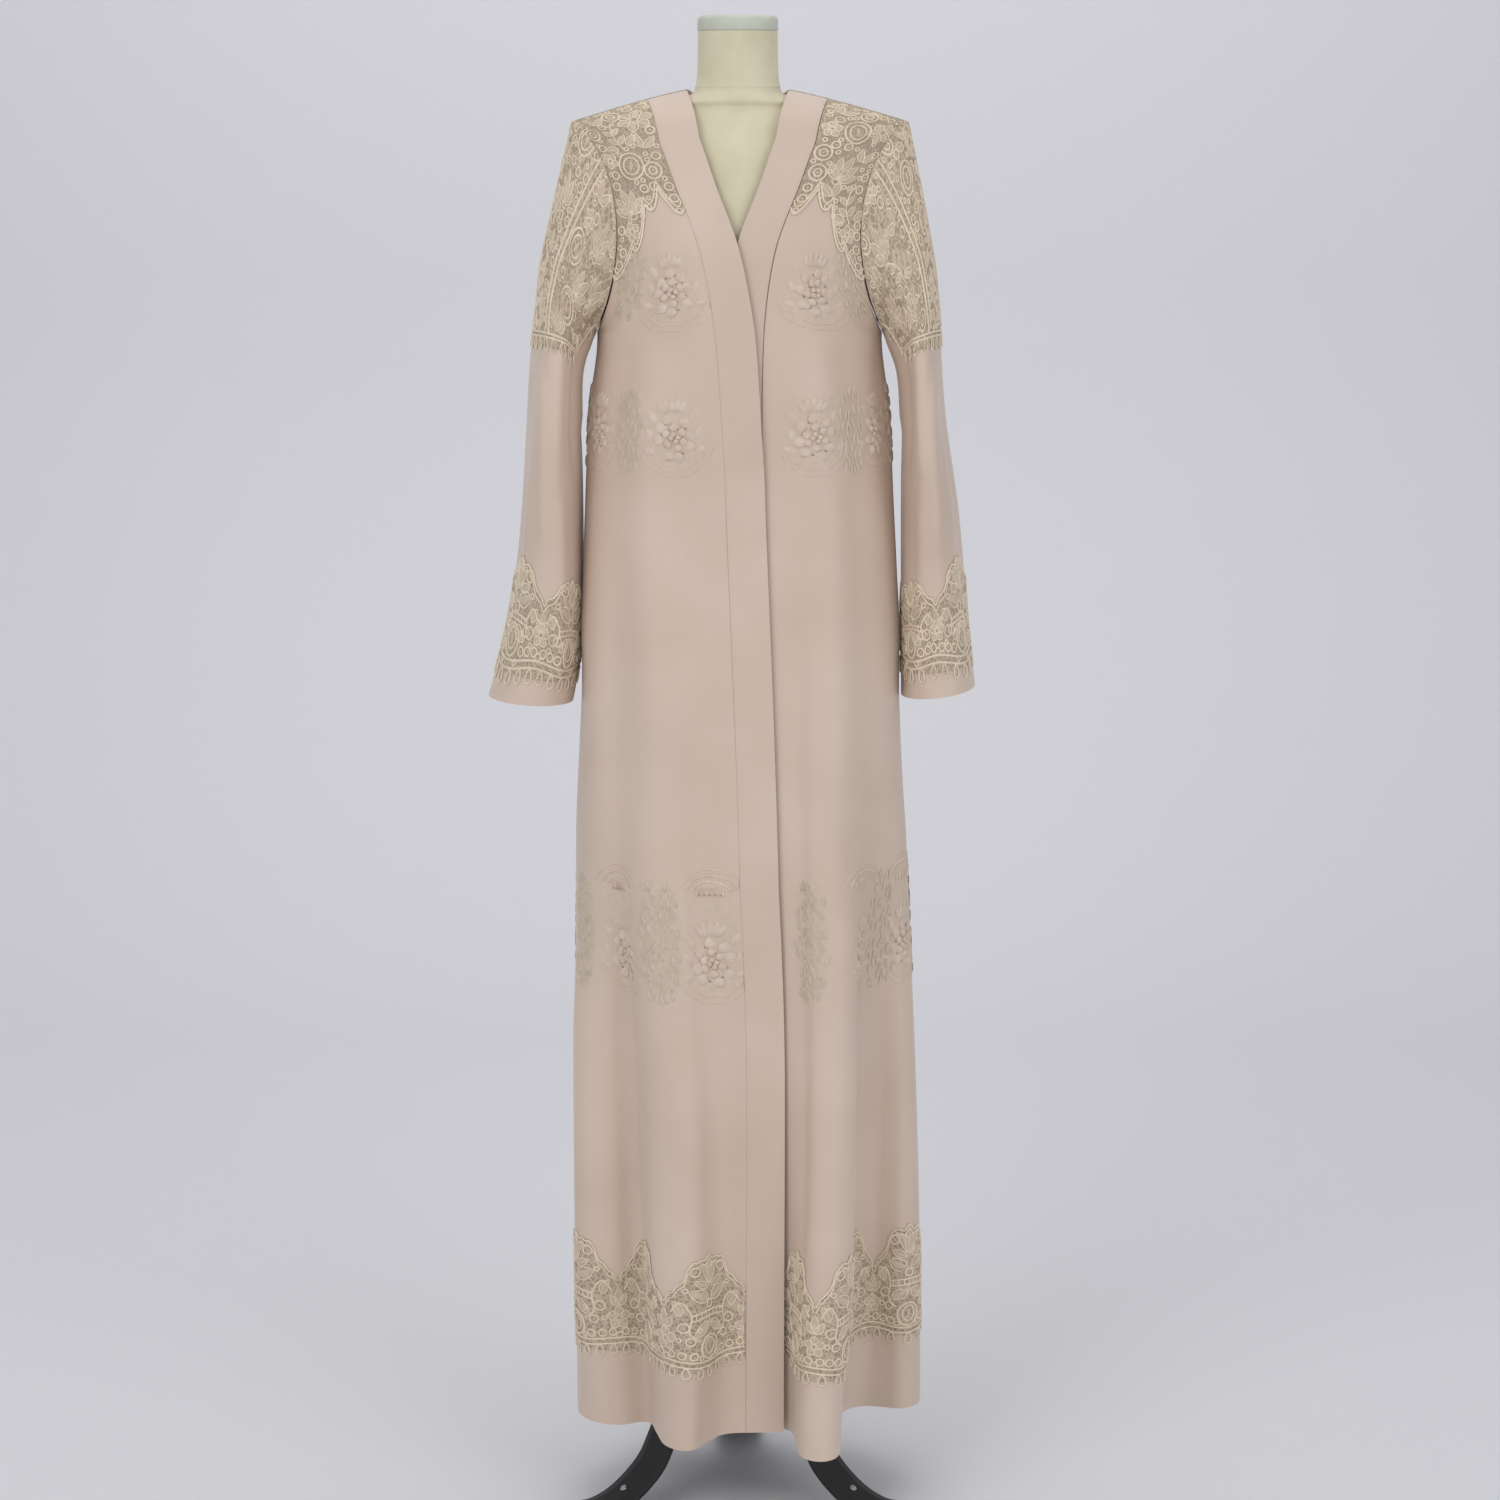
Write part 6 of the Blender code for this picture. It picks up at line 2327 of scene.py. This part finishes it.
@dataclass
class Stand:
    """The painted tripod: flat, ridged legs with a screw in each."""

    leg_width: float = 0.054
    leg_thickness: float = 0.009
    screw_radius: float = 0.0042
    screw_reach: float = 0.147

    def build(self, frame: dict, finishes: Finishes) -> None:
        """Dress the CAD nodes that stay, and build the legs and screws."""
        for name, turn in LEG_TURNS.items():
            leg = self.build_leg(name, turn, finishes)
            declare(leg, "stand", name)
            screw = self.build_screw(name, turn, finishes)
            declare(screw, "stand")
        for name in ("stand_pole", "stand_hub", "right_foot", "left_foot", "rear_foot"):
            node = frame["nodes"][name]
            for slot in node.material_slots:
                slot.material = finishes.paint
        LOG.info("stand")

    def stations(self) -> list[tuple[Vector, float]]:
        """Centres of the leg's sections, out and up, and their slopes in radians."""
        result = []
        last = len(LEG_LINE) - 1
        count = 28
        places = [blend(LEG_LINE, last * index / count) for index in range(count + 1)]
        for index, (reach, z) in enumerate(places):
            before, after = places[max(index - 1, 0)], places[min(index + 1, count)]
            slope = math.atan2(after[1] - before[1], after[0] - before[0])
            if index in (0, count):
                slope = 0.0
            result.append((Vector((reach, 0.0, z)), slope))
        return result

    def build_leg(self, name: str, turn: float, finishes: Finishes) -> bpy.types.Object:
        """Extrude a ridged bar section along the leg's line.

        Args:
            name: The CAD node's name.
            turn: Degrees from the front, positive to the wearer's left.
            finishes: The materials.

        Returns:
            The leg.
        """
        deselect_all()
        bpy.ops.mesh.primitive_plane_add(size=1.0, location=(0.0, 0.0, 0.0),
                                         rotation=(0.0, math.pi / 2.0, 0.0))
        leg = bpy.context.object
        bpy.ops.object.transform_apply(location=True, rotation=True)
        bpy.ops.object.mode_set(mode="EDIT")
        self.shape_section(leg)
        stations = self.stations()
        bpy.ops.transform.translate(value=tuple(stations[0][0]))
        for (before, slope), (centre, next_slope) in zip(stations, stations[1:]):
            bpy.ops.mesh.extrude_region_move(
                TRANSFORM_OT_translate={"value": tuple(centre - before)})
            bpy.ops.transform.rotate(value=next_slope - slope, orient_axis="Y",
                                     center_override=tuple(centre))
        bpy.ops.mesh.select_all(action="SELECT")
        bpy.ops.mesh.normals_make_consistent(inside=False)
        bpy.ops.object.mode_set(mode="OBJECT")
        leg.rotation_euler = (0.0, 0.0, math.radians(turn - 90.0))
        leg.location = Vector(ORIGIN_SHIFT)
        settle(leg, f"painted_{name}", finishes.paint)
        bevel = leg.modifiers.new("eased edges", "BEVEL")
        bevel.width = 0.0006
        bevel.segments = 2
        bevel.limit_method = "ANGLE"
        bevel.angle_limit = math.radians(40.0)
        bpy.ops.object.modifier_apply(modifier=bevel.name)
        bpy.ops.object.shade_smooth_by_angle(angle=math.radians(9.0))
        return leg

    def shape_section(self, leg: bpy.types.Object) -> None:
        """Size the bar's section and raise a low flat ridge along its middle."""
        bpy.ops.mesh.select_all(action="SELECT")
        bpy.ops.transform.resize(value=(1.0, self.leg_width, 0.55 * self.leg_thickness),
                                 center_override=(0.0, 0.0, 0.0))
        bpy.ops.mesh.subdivide(number_cuts=3)
        select_where(leg, lambda co: co.z > 0.2 * self.leg_thickness
                     and abs(co.y) < 0.3 * self.leg_width)
        bpy.ops.transform.translate(value=(0.0, 0.0, 0.35 * self.leg_thickness))
        bpy.ops.mesh.select_all(action="SELECT")

    def build_screw(self, name: str, turn: float, finishes: Finishes) -> bpy.types.Object:
        """A domed screw head on the leg's ridge."""
        deselect_all()
        stations = self.stations()
        centre, slope = min(stations, key=lambda one: abs(one[0].x - self.screw_reach))
        bpy.ops.mesh.primitive_cylinder_add(vertices=32, radius=self.screw_radius, depth=0.0016,
                                            location=(0.0, 0.0, 0.0))
        screw = bpy.context.object
        bpy.ops.object.mode_set(mode="EDIT")
        select_where(screw, lambda co: co.z > 0.0)
        bpy.ops.mesh.bevel(offset=0.0006, segments=3, affect="EDGES")
        bpy.ops.object.mode_set(mode="OBJECT")
        heading = math.radians(turn)
        outward = Vector((math.sin(heading), -math.cos(heading), 0.0))
        upward = Vector((0.0, 0.0, math.cos(slope))) - outward * math.sin(slope)
        place = Vector(ORIGIN_SHIFT) + outward * centre.x + Vector((0.0, 0.0, centre.z))
        screw.location = place + upward * (0.62 * self.leg_thickness + 0.0006)
        screw.rotation_mode = "QUATERNION"
        screw.rotation_quaternion = upward.to_track_quat("Z", "Y")
        settle(screw, f"screw_{name}", finishes.screw)
        bpy.ops.object.shade_smooth_by_angle(angle=math.radians(35.0))
        return screw


@dataclass
class Studio:
    """The pale floor and backdrop, the soft lights and the camera."""

    pale: str = "DCDCE0"
    depth: float = 3.2
    half_width: float = 7.0
    height: float = 6.0

    def build(self) -> None:
        """Build the studio round the form."""
        self.build_backdrop()
        self.add_light("key", (-2.4, -3.6, 3.2), 65.0, 2.6)
        self.add_light("fill", (2.8, -3.4, 2.2), 44.0, 2.8)
        self.add_light("top", (0.0, 0.4, 4.2), 24.0, 2.4)
        self.add_light("back", (0.0, 1.9, 3.4), 15.0, 2.4, (0.0, 3.2, 1.2))
        world = bpy.data.worlds.new("pale_room")
        world.use_nodes = True
        world.node_tree.nodes["Background"].inputs["Color"].default_value = linear("F0F1F4")
        world.node_tree.nodes["Background"].inputs["Strength"].default_value = 0.56
        bpy.context.scene.world = world
        camera = bpy.data.cameras.new("photograph")
        camera.sensor_width = PHOTO_SENSOR
        camera.lens = CAMERA_LENS
        holder = bpy.data.objects.new("photograph", camera)
        holder.location = CAMERA_PLACE
        holder.rotation_euler = (math.pi / 2.0 - CAMERA_DIP, 0.0, 0.0)
        bpy.context.scene.collection.objects.link(holder)
        bpy.context.scene.camera = holder
        bpy.context.scene.view_settings.view_transform = "Standard"
        LOG.info("studio")

    def build_backdrop(self) -> None:
        """A floor that curves up into a wall behind the form."""
        profile = [(-6.0, 0.0), (self.depth - 1.2, 0.0)]
        for index in range(1, 13):
            angle = math.pi / 2.0 * index / 12
            profile.append((self.depth - 1.2 + 1.2 * math.sin(angle), 1.2 - 1.2 * math.cos(angle)))
        profile.append((self.depth, self.height))
        places, faces = [], []
        for y, z in profile:
            places += [(-self.half_width, y, z), (self.half_width, y, z)]
        for index in range(len(profile) - 1):
            a = 2 * index
            faces.append((a, a + 1, a + 3, a + 2))
        paper = HardFinish("backdrop_paper", self.pale, self.pale, 0.9, 0.0, 0.02, 0.0).make()
        backdrop = mesh_object("backdrop", np.array(places), faces, paper)
        backdrop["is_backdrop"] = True

    def add_light(self, name: str, place: tuple[float, float, float], power: float,
                  size: float, target: tuple[float, float, float] = (0.0, 0.0, 0.95)) -> None:
        """Add a soft square light.

        Args:
            name: The light's name.
            place: Where it hangs.
            power: Its power in watts.
            size: Its side.
            target: What it is aimed at.
        """
        light = bpy.data.lights.new(name, "AREA")
        light.energy = power
        light.size = size
        holder = bpy.data.objects.new(name, light)
        holder.location = place
        aim = Vector(target) - Vector(place)
        holder.rotation_euler = aim.to_track_quat("-Z", "Y").to_euler()
        bpy.context.scene.collection.objects.link(holder)


def write_sizes(after: object) -> None:
    """Receive the dressed box and do nothing with it."""
    import json


def main() -> None:
    """Build the studio, the garment, the form and the stand."""
    logging.basicConfig(level=logging.INFO, format="%(message)s")
    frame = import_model()
    Studio().build()
    finishes = Finishes()
    Body().build(finishes)
    Sleeves().build(finishes)
    DressForm().build(finishes)
    Stand().build(frame, finishes)
    write_sizes(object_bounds())


if __name__ == "__main__":
    main()
